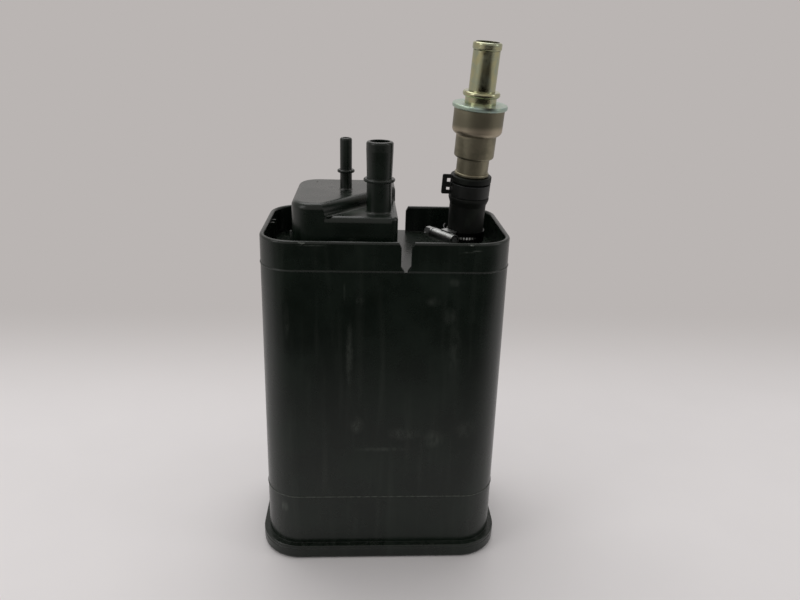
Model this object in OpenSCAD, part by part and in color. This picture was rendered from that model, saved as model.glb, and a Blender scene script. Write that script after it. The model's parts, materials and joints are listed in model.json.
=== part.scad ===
// Charcoal canister for fuel vapour. A tapered moulded case has an open well at its top, a vapour dome
// with two hose ports, and a fresh-air hose that carries a plated metal fitting. Inside, two carbon beds
// sit between felt pads, pressed together by slotted plates on coil springs.
// Millimetres, +Z up. The origin is the middle of the base, X runs along the wide side.

/* [Case] */
// Outer width across the rim
case_w = 156; // [150:1:190]
// Outer depth across the rim
case_d = 93.4; // [90:0.2:120]
// Outer corner radius at the rim
corner_r = 21.5; // [16:0.5:26]
// Height of the rim above the base
rim_z = 232.5; // [180:0.5:300]
// Growth of each side from the rim down to the weld flange
flare = 2.55; // [0.5:0.05:5]
// Wall thickness of the moulding
wall = 3; // [2:0.1:4]
// Depth of the open well below the rim
well_depth = 18.5; // [14:0.5:24]
// Thickness of the deck under the well
deck_t = 3; // [2:0.1:5]
// Height of the raised moulding lines on the outside
line_h = 0.4; // [0.2:0.05:0.8]
// Height of the lower moulding line above the weld flange
low_line = 39; // [20:1:80]

/* [Weld flange and bottom cover] */
// Overhang of the weld flange
flange_out = 4.1; // [2:0.1:8]
// Thickness of the weld flange
flange_t = 2.5; // [1.5:0.1:4]
// Height of the bottom cover up to the weld seam
cover_h = 8.5; // [6:0.1:14]
// Floor thickness of the bottom cover
cover_floor = 4; // [2:0.1:5]
// Height of the locating lip above the weld seam
lip_h = 5; // [2:0.5:10]
// Thickness of the locating lip
lip_t = 2.5; // [1.5:0.1:4]
// Radius of the cover's lower edge
cover_edge_r = 2.6; // [0.5:0.1:4]
// Radius of the edges along the weld seam
seam_edge_r = 0.8; // [0.3:0.1:1.2]

/* [Slots in the rim] */
// Width of the slot in the front wall
slot_w = 6.2; // [4:0.1:8]
// Width of the slot in the back wall
back_slot_w = 9; // [4:0.1:9.4]
// Distance from the dome's right side to the slots' middle
slot_gap = 5.1; // [4.5:0.1:10]
// Width of the front slot's tip at the deck
slot_tip_w = 2; // [1:0.1:4]
// Height over which the front slot narrows to its tip
slot_tip_h = 3; // [1:0.1:8]
// Widening of the slots on each side at the rim
slot_mouth = 1.8; // [0:0.1:3]

/* [Vapour dome] */
// Distance from the case's left side to the dome
dome_inset = 20; // [14:0.5:30]
// Width of the dome
dome_w = 65; // [55:0.5:70]
// Depth of the dome
dome_d = 76; // [66:0.5:80]
// Height of the dome above the deck
dome_h = 39; // [26:0.5:50]
// Wall thickness of the dome
dome_wall = 2.5; // [1.5:0.1:3.5]
// Radius of the dome's left upright corners
dome_corner_r = 14; // [8:0.5:20]
// Radius of the dome's right upright corners
dome_right_r = 4; // [3.6:0.2:8]
// Radius of the dome's top edges
dome_edge_r = 3.6; // [1:0.1:4]
// Drop from the dome's top to the ledge that carries the tank port
ledge_drop = 7.7; // [5:0.1:9]
// Distance from the dome's left side to where the ledge's ridge starts
ridge_start = 20.5; // [18:0.5:28]
// Direction of the ridge in plan, from the X axis
ridge_angle = 48; // [45:1:65]

/* [Purge port] */
// Distance of the purge port from the dome's left side
purge_x = 32.5; // [26:0.5:36]
// Distance of the purge port behind the dome's middle
purge_y = 5; // [0:0.5:20]
// Outer radius of the purge port
purge_r = 3.85; // [3:0.05:5]
// Bore radius of the purge port
purge_bore_r = 2.1; // [1.2:0.1:2.4]
// Length of the purge port above the dome
purge_h = 33; // [24:0.5:45]
// Height of the purge port's stop bead
purge_bead_z = 12; // [8:0.5:18]
// Radius of the purge port's stop bead
purge_bead_r = 5.6; // [5.2:0.1:8]

/* [Tank port] */
// Distance of the tank port from the dome's left side
tank_x = 53.5; // [50:0.5:54]
// Distance of the tank port in front of the dome's middle
tank_y = 23; // [18:0.5:26]
// Outer radius of the tank port below its stop bead
tank_r = 7.7; // [6.8:0.1:8]
// Radius of the tank port's barb
tank_barb_r = 8.2; // [8:0.05:9]
// Bore radius of the tank port
tank_bore_r = 6.1; // [4:0.1:6.3]
// Length of the tank port above the ledge
tank_h = 43; // [34:0.5:52]
// Height of the tank port's stop bead
tank_bead_z = 20; // [12:0.5:22]
// Radius of the tank port's stop bead
tank_bead_r = 9.7; // [9.2:0.1:11]
// Length of the straight part of the barb
tank_land = 4.5; // [3:0.1:8]

/* [Port edges] */
// Thickness of the stop beads on both ports
bead_t = 2; // [1.2:0.1:3]
// Radius of the ports' end edges
port_edge_r = 1.3; // [0.3:0.1:1.4]
// Radius of the fillets at the ports' roots
port_root_r = 1.2; // [0.4:0.1:1.6]

/* [Moulded pegs and ribs in the well] */
// Height of the locating peg above the deck
peg_h = 22.5; // [10:0.5:30]
// Radius of the peg's foot
peg_r = 3; // [2:0.1:4]
// Radius of the peg's tip
peg_tip_r = 0.8; // [0.5:0.1:1.9]
// Distance of the peg from the case's left side
peg_x = 20.6; // [16:0.1:21.5]
// Distance of the peg from the case's front side
peg_y = 10.5; // [9:0.1:11]
// Thickness of the two stiffening ribs on the left wall
wall_rib_t = 1.6; // [1:0.1:3]
// Reach of the stiffening ribs into the well
wall_rib_out = 2; // [1:0.1:5]
// Distance between the stiffening ribs
wall_rib_gap = 7; // [5:0.5:20]
// Distance of the stiffening ribs behind the case's middle
wall_rib_y = 10; // [0:0.5:12]

/* [Inside of the case] */
// Distance from the case's right side to the divider
divider_from_right = 58; // [50:0.5:64]
// Thickness of the divider
divider_t = 2.5; // [1.5:0.1:4]
// Height of the divider's lower edge above the cover's floor
divider_gap = 26; // [15:0.5:28]
// Height of the standoff ribs under the deck
rib_h = 6; // [3:0.5:10]
// Thickness of the standoff ribs
rib_t = 2; // [1.2:0.1:3]
// Spacing of the standoff ribs
rib_pitch = 18; // [12:0.5:30]
// Thickness of the felt pads
felt_t = 5; // [3:0.5:10]
// Thickness of the pressure plates
plate_t = 3.5; // [2:0.1:6]
// Width of the slots in the pressure plates
plate_slot_w = 5; // [3:0.5:7]
// Spacing of the slots in the pressure plates
plate_pitch = 9; // [8:0.5:14]
// Width of the bar between the two rows of slots
plate_bar = 8; // [4:0.5:14]
// Solid margin at the edges of the pressure plates
plate_margin = 8; // [6:0.5:14]
// Clearance of the inner pieces in the case
inner_fit = 0.3; // [0.1:0.05:0.6]

/* [Springs] */
// Loaded length of the springs
spring_h = 30; // [29:0.5:45]
// Radius of the spring coils, to the middle of the wire
coil_r = 11; // [8:0.5:16]
// Radius of the spring wire
wire_r = 0.9; // [0.6:0.1:1.1]
// Number of coils
coils = 5.5; // [4:0.5:6]
// Height of the spring seats on the cover
seat_h = 5; // [2:0.5:8]
// Wall thickness of the spring seats
seat_t = 2; // [1:0.1:4]
// Clearance between a spring and its seat
seat_fit = 0.5; // [0.2:0.1:1]

/* [Fresh-air hose] */
// Distance from the case's right side to the hose
hose_from_right = 24.2; // [23:0.1:27]
// Bore radius of the hose
hose_bore_r = 8.7; // [7.8:0.1:9]
// Wall thickness of the hose
hose_wall = 3; // [2.5:0.1:4]
// Wall thickness where the hose is stretched over the fitting
hose_top_wall = 2.8; // [2.2:0.1:3]
// Gap between the deck and the hose's lower end
hose_lift = 2; // [0.5:0.1:4]
// Height above the deck where the hose starts to bend
bend_start = 17; // [16.6:0.1:24]
// Radius of the hose's bend
bend_r = 140; // [90:1:200]
// Lean of the hose's upper end and the fitting
lean = 5.5; // [2:0.1:9]
// Direction of the lean in plan, from the X axis
lean_dir = -64; // [-90:1:-30]
// Length of the hose past the bend
hose_top = 21; // [19:0.1:30]
// Length over which the hose's bore widens onto the fitting
hose_cone = 4; // [2:0.1:4.2]
// Length of the nipple inside the hose, from the deck
nipple_h = 16; // [8:0.5:16]
// Wall thickness of the nipple
nipple_wall = 2.2; // [1.5:0.1:3]
// Clearance between the hose and what it sits on or what grips it
hose_fit = 0.1; // [0.05:0.01:0.2]

/* [Worm-drive clamp] */
// Height of the band's middle above the deck
clamp_z = 11.4; // [8:0.1:12.4]
// Width of the band
band_w = 7; // [6:0.1:7.2]
// Thickness of the band
band_t = 0.7; // [0.5:0.05:0.9]
// Width of the slots in the band
band_slot_w = 0.9; // [0.6:0.05:1.1]
// Spacing of the slots, in degrees round the hose
band_slot_step = 9; // [8:0.5:15]
// Direction of the housing from the hose, from the X axis
clamp_dir = 214; // [195:1:220]
// Outer radius of the housing's barrel
barrel_r = 3.7; // [3.7:0.1:4.4]
// Sheet thickness of the housing
barrel_t = 0.8; // [0.6:0.05:1]
// Length of the barrel
barrel_len = 20; // [12:0.5:22]
// Distance that the barrel sits off the hose's middle, towards the screw head
barrel_shift = 1.2; // [0:0.1:4]
// Length of the screw head
head_len = 5.5; // [3:0.1:6]
// Width of the screw head across its corners
head_w = 7; // [6.5:0.1:9]
// Thickness of the collar under the screw head
collar_t = 1.2; // [0.8:0.1:2]
// Gap between the barrel and the collar
collar_gap = 0.8; // [0.2:0.1:1.5]
// Width of the slot in the screw head
head_slot_w = 1; // [0.6:0.1:1.6]
// Depth of the worm's thread
thread_depth = 0.5; // [0.2:0.05:1]
// Clearance of the screw in its barrel
screw_fit = 0.15; // [0.05:0.05:0.3]
// Radius of the band's free tail
tail_r = 20; // [17:0.5:24]
// Sweep of the band's free tail
tail_sweep = 60; // [35:1:70]

/* [Spring clamp] */
// Height of the spring clamp above the bend
spring_clamp_z = 8.2; // [6:0.1:9]
// Width of the spring clamp
spring_clamp_w = 8; // [6:0.1:9]
// Thickness of the spring clamp
spring_clamp_t = 1; // [0.8:0.1:1.4]
// Depth that the spring clamp is pressed into the hose
clamp_squeeze = 1.2; // [0.4:0.1:1.5]
// Direction of the gripping ears from the hose, from the X axis
ear_dir = 176; // [165:1:200]
// Reach of the wide ear past the band
ear_len = 5.7; // [4:0.1:7]
// Height of the wide ear above the band
ear_rise = 4.8; // [0:0.1:5]
// Depth of the wide ear below the band
ear_drop = 0; // [0:0.1:2]
// Reach of the narrow ear past the band
tongue_len = 4.3; // [3:0.1:7]
// Height of the narrow ear
tongue_h = 2.4; // [2.1:0.1:4]
// Width of the two openings in the wide ear
ear_hole_w = 2.3; // [1:0.1:2.6]
// Height of the two openings in the wide ear
ear_hole_h = 2.5; // [1:0.1:2.8]
// Height of the bar between the two openings
ear_bar_h = 2.8; // [1.5:0.1:3.5]
// Radius of the ears' outer corners
ear_corner_r = 1; // [0.3:0.1:1]
// Half the opening of the band between the ears, in degrees
ear_gap = 9; // [7:0.5:20]

/* [Metal fitting] */
// Outer radius of the stub in the hose
stub_r = 10.2; // [9.8:0.05:11]
// Length of the stub inside the hose
stub_grip = 16.5; // [10:0.5:16.5]
// Wall thickness of the fitting's body
body_wall = 1.6; // [1:0.1:2]
// Visible length of the stub
stub_len = 11.6; // [8:0.1:20]
// Radius of the stub's bead at the hose's end
stub_bead_r = 10.9; // [10.4:0.05:11.6]
// Thickness of the stub's bead
stub_bead_t = 2.2; // [1.6:0.1:3]
// Radius of the collar
collar_r = 12.6; // [12.2:0.05:14]
// Length of the collar
collar_len = 14.4; // [8:0.1:20]
// Radius of the cup
cup_r = 15.6; // [14.8:0.05:18]
// Length of the cup
cup_len = 16.1; // [10:0.1:24]
// Radius of the cup's lower edge
cup_edge_r = 3.6; // [0.5:0.1:3.8]
// Radius of the collar's lower edge
collar_edge_r = 1.6; // [0.5:0.1:2]
// Radius of the disc on the cup
disc_r = 17; // [16:0.05:20]
// Thickness of the disc
disc_t = 2.6; // [1.5:0.1:4]
// Outer radius of the tube
tube_r = 8.2; // [7.5:0.05:8.6]
// Wall thickness of the tube
tube_wall = 1.1; // [0.8:0.1:1.6]
// Radius of the neck under the stop bead
neck_r = 9.7; // [9.2:0.05:10.5]
// Length of the neck
neck_len = 4.3; // [2:0.1:8]
// Radius of the stop bead
stop_bead_r = 11.45; // [11:0.05:13]
// Thickness of the stop bead
stop_bead_t = 3.2; // [2:0.1:5]
// Length of the tube past the stop bead
tube_len = 28; // [20:0.1:40]
// Radius of the end bead
end_bead_r = 8.75; // [8.7:0.05:9.4]
// Length of the end bead
end_bead_t = 4.6; // [3:0.1:6]
// Clearance of the tube's spigot in the disc
spigot_fit = 0.1; // [0.05:0.01:0.2]

/* [Hidden] */
$fn = 64;

// How far cutting shapes run past the faces they cut
over = 1;
// Middle of the upright corners, shared by every height of the tapered case
corner_x = case_w / 2 - corner_r;
corner_y = case_d / 2 - corner_r;
seam_z = cover_h;
flange_top = seam_z + flange_t;
deck_z = rim_z - well_depth;
deck_under = deck_z - deck_t;
rim_mid_z = rim_z - wall / 2;

dome_x0 = -case_w / 2 + dome_inset;
dome_x1 = dome_x0 + dome_w;
dome_y1 = dome_d / 2;
dome_top = deck_z + dome_h;
ledge_z = dome_top - ledge_drop;
slot_x = dome_x1 + slot_gap;
// The ridge rolls over at its top and runs out in a fillet at its foot
ridge_top_r = ledge_drop * 0.62;
ridge_foot_r = ledge_drop * 0.3;
// Smallest edge radius inside the hollow dome
least_edge_r = 0.3;
// Flat left on the edge of the ports' stop beads
bead_flat = 0.2;

divider_x = case_w / 2 - divider_from_right;
divider_foot = cover_floor + divider_gap;
main_x1 = divider_x - divider_t / 2;
vent_x0 = divider_x + divider_t / 2;
case_reach = case_w / 2 + flare + flange_out;

// Levels of the carbon stack, from the cover's floor upwards
plate_z = cover_floor + spring_h;
low_felt_z = plate_z + plate_t;
carbon_z = low_felt_z + felt_t;
rib_z = deck_under - rib_h;
top_felt_z = rib_z - felt_t;

// Middles of the springs in the two chambers
main_mid_x = (main_x1 - case_w / 2 + wall) / 2;
main_spring_step = (main_x1 + case_w / 2 - wall) / 4;
vent_mid_x = (vent_x0 + case_w / 2 - wall) / 2;
// The first and last part of a coil, in turns, lie flat, so that the spring stands square
dead_coil = 0.7;
wire_sides = 8;
coil_steps = 14;

hose_x = case_w / 2 - hose_from_right;
hose_r = hose_bore_r + hose_wall;
hose_top_bore_r = stub_r + hose_fit;
hose_top_r = hose_top_bore_r + hose_top_wall;
// The spring clamp lies in a groove that it has pressed into the hose
groove_r = hose_top_r - clamp_squeeze;
groove_z0 = spring_clamp_z - hose_fit;
groove_z1 = spring_clamp_z + spring_clamp_w + hose_fit;
// Below the groove the hose swells round the end of the fitting's stub
hose_flare = max(groove_z0 - 2 * clamp_squeeze, hose_cone + over);
nipple_r = hose_bore_r - hose_fit;
// Step by which the hose's bend laps over its straight part, and its upper part over the bend
hose_lap = 0.05;

band_in_r = hose_r + hose_fit;
band_out_r = band_in_r + band_t;
// The tail is sunk a little into the band, and starts this many degrees before it leaves it
tail_sink = 0.15;
tail_start = 6;
barrel_x = band_out_r + band_t + hose_fit + barrel_r;
barrel_y0 = -barrel_shift - barrel_len / 2;
screw_r = barrel_r - barrel_t - screw_fit;

// Stations along the leaning fitting, from the upper end of the bend
stub_foot = max(hose_top - stub_grip, hose_cone);
stub_top = hose_top + stub_len;
cup_foot = stub_top + collar_len;
cup_top = cup_foot + cup_len;
disc_top = cup_top + disc_t;
neck_top = disc_top + neck_len;
tube_foot = neck_top + stop_bead_t;
tube_top = tube_foot + tube_len;

// Outer and inner corner radius of the tapered case at height z
function skin_r(z) = corner_r + flare * (rim_z - z) / (rim_z - flange_top);
function inner_r(z) = skin_r(z) - wall;

// Plane shapes for sections

module quarter_disc(r) {
    intersection() {
        circle(r);
        square(r);
    }
}

// Bar from r0 to r1 and z0 to z1 with its upper and lower outer corners rounded
module edge_bar(r0, r1, z0, z1, top_r = 0, foot_r = 0) {
    translate([r0, z0 + foot_r])
        square([r1 - r0, z1 - z0 - top_r - foot_r]);
    if (top_r > 0) {
        translate([r0, z1 - top_r])
            square([r1 - r0 - top_r, top_r]);
        translate([r1 - top_r, z1 - top_r])
            quarter_disc(top_r);
    }
    if (foot_r > 0) {
        translate([r0, z0])
            square([r1 - r0 - foot_r, foot_r]);
        translate([r1 - foot_r, z0 + foot_r])
            mirror([0, 1])
                quarter_disc(foot_r);
    }
}

// Solids that follow the rounded rectangle of the case

// Carries a section, drawn as radius and height, round the four corners and sides
module around_case() {
    for (sx = [0, 1], sy = [0, 1])
        mirror([sx, 0, 0])
            mirror([0, sy, 0])
                translate([corner_x, corner_y, 0])
                    rotate_extrude(angle = 90)
                        children();
    for (side = [0, 1])
        mirror([side, 0, 0])
            translate([corner_x, corner_y, 0])
                rotate([90, 0, 0])
                    linear_extrude(2 * corner_y)
                        children();
    for (side = [0, 1])
        mirror([0, side, 0])
            translate([-corner_x, corner_y, 0])
                rotate([90, 0, 90])
                    linear_extrude(2 * corner_x)
                        children();
}

// Middle of a solid that around_case() surrounds
module case_core(z0, z1) {
    translate([-corner_x, -corner_y, z0])
        cube([2 * corner_x, 2 * corner_y, z1 - z0]);
}

// Solid that fills the tapered case from z0 to z1, grown or shrunk from the inner wall by grow
module case_fill(z0, z1, grow) {
    around_case()
        polygon([
            [0, z0], [inner_r(z0) + grow, z0], [inner_r(z1) + grow, z1], [0, z1]
        ]);
    case_core(z0, z1);
}

// Part of the fill between two planes across the case
module chamber(x0, x1, z0, z1, grow) {
    intersection() {
        case_fill(z0, z1, grow);
        translate([x0, -case_d, z0 - over])
            cube([x1 - x0, 2 * case_d, z1 - z0 + 2 * over]);
    }
}

module main_chamber(z0, z1) {
    chamber(-case_reach, main_x1 - inner_fit, z0, z1, -inner_fit);
}

module vent_chamber(z0, z1) {
    chamber(vent_x0 + inner_fit, case_reach, z0, z1, -inner_fit);
}

// Case

// Section of the wall: the drafted skin with a rounded rim, the weld flange and the moulding lines
module wall_section() {
    polygon([
        [inner_r(seam_z), seam_z], [skin_r(seam_z), seam_z],
        [skin_r(rim_mid_z), rim_mid_z], [inner_r(rim_mid_z), rim_mid_z]
    ]);
    translate([skin_r(rim_mid_z) - wall / 2, rim_mid_z])
        intersection() {
            circle(wall / 2);
            translate([-wall / 2, 0])
                square([wall, wall / 2]);
        }
    edge_bar(skin_r(seam_z) - wall / 2, skin_r(flange_top) + flange_out, seam_z, flange_top,
        seam_edge_r, seam_edge_r);
    for (z = [deck_z, flange_top + low_line])
        translate([skin_r(z), z])
            circle(line_h);
}

// Dome body with rounded top edges, drawn smaller by inset
module dome_block(inset, z0, z1) {
    left_r = dome_corner_r - inset;
    right_r = dome_right_r - inset;
    edge_r = max(dome_edge_r - inset, least_edge_r);
    x0 = dome_x0 + inset + left_r;
    x1 = dome_x1 - inset - right_r;
    y_left = dome_y1 - inset - left_r;
    y_right = dome_y1 - inset - right_r;
    for (side = [0, 1])
        mirror([0, side, 0]) {
            translate([x0, y_left, 0])
                rotate([0, 0, 90])
                    rotate_extrude(angle = 90)
                        edge_bar(0, left_r, z0, z1, edge_r);
            translate([x1, y_right, 0])
                rotate_extrude(angle = 90)
                    edge_bar(0, right_r, z0, z1, min(edge_r, right_r / 2));
            translate([x0, y_left, 0])
                rotate([90, 0, 90])
                    linear_extrude(x1 - x0)
                        edge_bar(0, left_r, z0, z1, edge_r);
        }
    translate([x0, -y_left, 0])
        rotate([90, 0, 180])
            linear_extrude(2 * y_left)
                edge_bar(0, left_r, z0, z1, edge_r);
    translate([x1, y_right, 0])
        rotate([90, 0, 0])
            linear_extrude(2 * y_right)
                edge_bar(0, right_r, z0, z1, min(edge_r, right_r / 2));
    translate([x0, -y_left, z0])
        cube([x1 - x0, 2 * y_left, z1 - z0]);
}

// Concave fillet of radius r in the corner at the origin
module root_fillet(r) {
    difference() {
        square(r);
        translate([r, r])
            circle(r);
    }
}

// Carries a section along the ridge, drawn as distance in front of the ridge and height
module along_ridge() {
    reach = dome_w + dome_d;
    translate([dome_x0 + ridge_start, -dome_y1, 0])
        rotate([0, 0, ridge_angle])
            translate([-reach, 0, 0])
                mirror([0, 1, 0])
                    rotate([90, 0, 90])
                        linear_extrude(2 * reach)
                            children();
}

// Dome with its high back part and the low ledge in front of the ridge
module dome_form(inset, z0) {
    top_z = dome_top - inset;
    dome_block(inset, z0, ledge_z - inset);
    intersection() {
        dome_block(inset, z0, top_z);
        along_ridge() {
            edge_bar(-dome_w - dome_d, -inset, z0, top_z, max(ridge_top_r - inset, least_edge_r));
            if (inset == 0)
                translate([0, ledge_z])
                    root_fillet(ridge_foot_r);
        }
    }
}

module at_purge_port() {
    translate([dome_x0 + purge_x, purge_y, dome_top])
        children();
}

module at_tank_port() {
    translate([dome_x0 + tank_x, -tank_y, ledge_z])
        children();
}

module stop_bead(r, z) {
    edge_r = (bead_t - bead_flat) / 2;
    edge_bar(0, r, z - bead_t / 2, z + bead_t / 2, edge_r, edge_r);
}

module purge_port() {
    rotate_extrude() {
        edge_bar(0, purge_r, -dome_wall / 2, purge_h, port_edge_r);
        translate([purge_r, 0])
            root_fillet(port_root_r);
        stop_bead(purge_bead_r, purge_bead_z);
    }
}

// The tank port widens from its bead to a short straight barb
module tank_port() {
    land_z1 = tank_h - port_edge_r;
    land_z0 = land_z1 - tank_land;
    rotate_extrude() {
        polygon([
            [0, -dome_wall / 2], [tank_r, -dome_wall / 2], [tank_r, tank_bead_z],
            [tank_barb_r, land_z0], [0, land_z0]
        ]);
        translate([tank_r, 0])
            root_fillet(port_root_r);
        edge_bar(0, tank_barb_r, land_z0, tank_h, port_edge_r);
        stop_bead(tank_bead_r, tank_bead_z);
    }
}

module at_hose() {
    translate([hose_x, 0, deck_z])
        children();
}

// Slot through the front wall, with its width and its width at the deck
module rim_slot(w, foot_w) {
    half = w / 2;
    foot = foot_w / 2;
    mouth_z = rim_z - 2 * slot_mouth;
    translate([slot_x, -dome_y1, 0])
        rotate([90, 0, 0])
            linear_extrude(case_d)
                polygon([
                    [-foot, deck_z], [foot, deck_z], [half, deck_z + slot_tip_h], [half, mouth_z],
                    [half + slot_mouth, rim_z], [half + slot_mouth, rim_z + over],
                    [-half - slot_mouth, rim_z + over], [-half - slot_mouth, rim_z], [-half, mouth_z],
                    [-half, deck_z + slot_tip_h]
                ]);
}

module rim_slots() {
    rim_slot(slot_w, slot_tip_w);
    mirror([0, 1, 0])
        rim_slot(back_slot_w, back_slot_w);
}

module locating_peg() {
    translate([-case_w / 2 + peg_x, -case_d / 2 + peg_y, deck_z - deck_t / 2])
        rotate_extrude() {
            tip_z = peg_h + deck_t / 2 - peg_tip_r;
            polygon([[0, 0], [peg_r, 0], [peg_tip_r, tip_z], [0, tip_z]]);
            translate([0, tip_z])
                quarter_disc(peg_tip_r);
        }
}

module wall_ribs() {
    for (side = [-1, 1])
        translate([-case_w / 2 + wall / 2, wall_rib_y + side * wall_rib_gap / 2 - wall_rib_t / 2,
                deck_z - deck_t / 2])
            cube([wall / 2 + wall_rib_out, wall_rib_t, rim_mid_z - deck_z]);
}

// Bars across both chambers that hold the felt pads away from the deck
module standoff_ribs() {
    intersection() {
        case_fill(rib_z, deck_under + deck_t / 2, wall / 2);
        for (x = [divider_x - rib_pitch : -rib_pitch : -case_w / 2 + wall + rib_pitch / 2])
            translate([x - rib_t / 2, -case_d, rib_z - over])
                cube([rib_t, 2 * case_d, rib_h + deck_t + over]);
    }
    intersection() {
        case_fill(rib_z, deck_under + deck_t / 2, wall / 2);
        for (x = [divider_x + rib_pitch : rib_pitch : case_w / 2 - wall - rib_pitch / 2])
            translate([x - rib_t / 2, -case_d, rib_z - over])
                cube([rib_t, 2 * case_d, rib_h + deck_t + over]);
    }
}

module case() {
    color("#2a2d2c")
        difference() {
            union() {
                around_case()
                    wall_section();
                case_fill(deck_under, deck_z, wall / 2);
                chamber(main_x1, vent_x0, divider_foot, deck_z - deck_t / 2, wall / 2);
                difference() {
                    dome_form(0, deck_under);
                    dome_form(dome_wall, deck_under);
                }
                standoff_ribs();
                locating_peg();
                wall_ribs();
                at_purge_port()
                    purge_port();
                at_tank_port()
                    tank_port();
                at_hose()
                    rotate_extrude()
                        edge_bar(0, nipple_r, -deck_t / 2, nipple_h, nipple_wall / 2);
            }
            rim_slots();
            difference() {
                dome_form(dome_wall, deck_under - over);
                standoff_ribs();
            }
            at_purge_port()
                translate([0, 0, -dome_wall - over])
                    cylinder(r = purge_bore_r, h = dome_wall + purge_h + 2 * over);
            at_tank_port()
                translate([0, 0, -dome_wall - over])
                    cylinder(r = tank_bore_r, h = dome_wall + tank_h + 2 * over);
            at_hose()
                translate([0, 0, -deck_t - over])
                    cylinder(r = nipple_r - nipple_wall, h = deck_t + nipple_h + 2 * over);
        }
}

// Bottom cover

module at_springs() {
    for (x = [main_mid_x - main_spring_step, main_mid_x + main_spring_step, vent_mid_x])
        translate([x, 0, 0])
            children();
}

module bottom_cover() {
    cover_r = skin_r(flange_top) + flange_out;
    lip_r = inner_r(seam_z) - inner_fit;
    seat_r = coil_r - wire_r - seat_fit;
    color("#232625") {
        around_case() {
            edge_bar(0, cover_r, 0, cover_floor, 0, cover_edge_r);
            edge_bar(lip_r - lip_t, cover_r, cover_floor, seam_z, seam_edge_r);
            translate([lip_r - lip_t, seam_z])
                square([lip_t, lip_h]);
        }
        case_core(0, cover_floor);
        at_springs()
            rotate_extrude()
                translate([seat_r - seat_t, cover_floor / 2])
                    square([seat_t, cover_floor / 2 + seat_h]);
    }
}

// Carbon stack

module carbon_bed_main() {
    color("#151515")
        main_chamber(carbon_z, top_felt_z);
}

module carbon_bed_vent() {
    color("#151515")
        vent_chamber(carbon_z, top_felt_z);
}

module top_filter_main() {
    color("#d8d4c8")
        main_chamber(top_felt_z, rib_z);
}

module top_filter_vent() {
    color("#d8d4c8")
        vent_chamber(top_felt_z, rib_z);
}

module bottom_filter_main() {
    color("#d8d4c8")
        main_chamber(low_felt_z, carbon_z);
}

module bottom_filter_vent() {
    color("#d8d4c8")
        vent_chamber(low_felt_z, carbon_z);
}

// Two rows of gas slots between x0 and x1
module plate_slots(x0, x1) {
    slot_len = case_d / 2 - wall - plate_margin - plate_bar / 2;
    count = floor((x1 - x0 - 2 * plate_margin - plate_slot_w) / plate_pitch);
    first_x = (x0 + x1 - count * plate_pitch - plate_slot_w) / 2;
    for (i = [0 : count], side = [0, 1])
        mirror([0, side, 0])
            translate([first_x + i * plate_pitch, plate_bar / 2, plate_z - over])
                cube([plate_slot_w, slot_len, plate_t + 2 * over]);
}

module pressure_plate_main() {
    color("#b9bcb8")
        difference() {
            main_chamber(plate_z, low_felt_z);
            plate_slots(-case_w / 2 + wall, main_x1);
        }
}

module pressure_plate_vent() {
    color("#b9bcb8")
        difference() {
            vent_chamber(plate_z, low_felt_z);
            plate_slots(vent_x0, case_w / 2 - wall);
        }
}

// Springs

function coil_rise(turn) = min(max((turn - dead_coil) / (coils - 2 * dead_coil), 0), 1);

module coil_spring(x) {
    rings = round(coils * coil_steps);
    rise = spring_h - 2 * wire_r;
    points = [
        for (i = [0 : rings], j = [0 : wire_sides - 1])
            let (turn = coils * i / rings)
            let (a = 360 * turn)
            let (b = 360 * j / wire_sides)
            let (r = coil_r + wire_r * cos(b))
            [r * cos(a), r * sin(a), wire_r + rise * coil_rise(turn) + wire_r * sin(b)]
    ];
    sides = [
        for (i = [0 : rings - 1], j = [0 : wire_sides - 1])
            let (k = (j + 1) % wire_sides)
            [i * wire_sides + j, i * wire_sides + k, (i + 1) * wire_sides + k, (i + 1) * wire_sides + j]
    ];
    first_end = [[for (j = [wire_sides - 1 : -1 : 0]) j]];
    last_end = [[for (j = [0 : wire_sides - 1]) rings * wire_sides + j]];
    color("#9aa0a6")
        translate([x, 0, cover_floor])
            polyhedron(points, concat(first_end, sides, last_end), convexity = 10);
}

module spring_main_left() {
    coil_spring(main_mid_x - main_spring_step);
}

module spring_main_right() {
    coil_spring(main_mid_x + main_spring_step);
}

module spring_vent() {
    coil_spring(vent_mid_x);
}

// Fresh-air hose and its clamps

// Frame at the upper end of the hose's bend, with Z along the leaning fitting
module leaning() {
    at_hose()
        rotate([0, 0, lean_dir])
            translate([bend_r, 0, bend_start])
                rotate([0, lean, 0])
                    translate([-bend_r, 0, 0])
                        children();
}

module vent_hose() {
    color("#1d1f1f") {
        at_hose()
            rotate_extrude()
                edge_bar(hose_bore_r, hose_r, hose_lift, bend_start + over, 0, hose_wall / 4);
        at_hose()
            rotate([0, 0, lean_dir])
                translate([bend_r, 0, bend_start])
                    rotate([90, 0, 0])
                        mirror([1, 0, 0])
                            rotate_extrude(angle = lean)
                                translate([bend_r, 0])
                                    difference() {
                                        circle(hose_r + hose_lap);
                                        circle(hose_bore_r - hose_lap);
                                    }
        leaning()
            rotate_extrude()
                difference() {
                    union() {
                        polygon([
                            [hose_bore_r - 2 * hose_lap, -over], [hose_r + 2 * hose_lap, -over],
                            [hose_r + 2 * hose_lap, hose_flare / 3], [hose_top_r, hose_flare],
                            [hose_top_bore_r, hose_flare], [hose_top_bore_r, hose_cone],
                            [hose_bore_r - 2 * hose_lap, 0]
                        ]);
                        edge_bar(hose_top_bore_r, hose_top_r, hose_flare, hose_top, hose_top_wall / 4);
                    }
                    polygon([
                        [groove_r, groove_z0], [hose_top_r + over, groove_z0 - clamp_squeeze - over],
                        [hose_top_r + over, groove_z1 + clamp_squeeze + over], [groove_r, groove_z1]
                    ]);
                }
    }
}

module at_worm_clamp() {
    at_hose()
        translate([0, 0, clamp_z])
            rotate([0, 0, clamp_dir])
                children();
}

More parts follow.
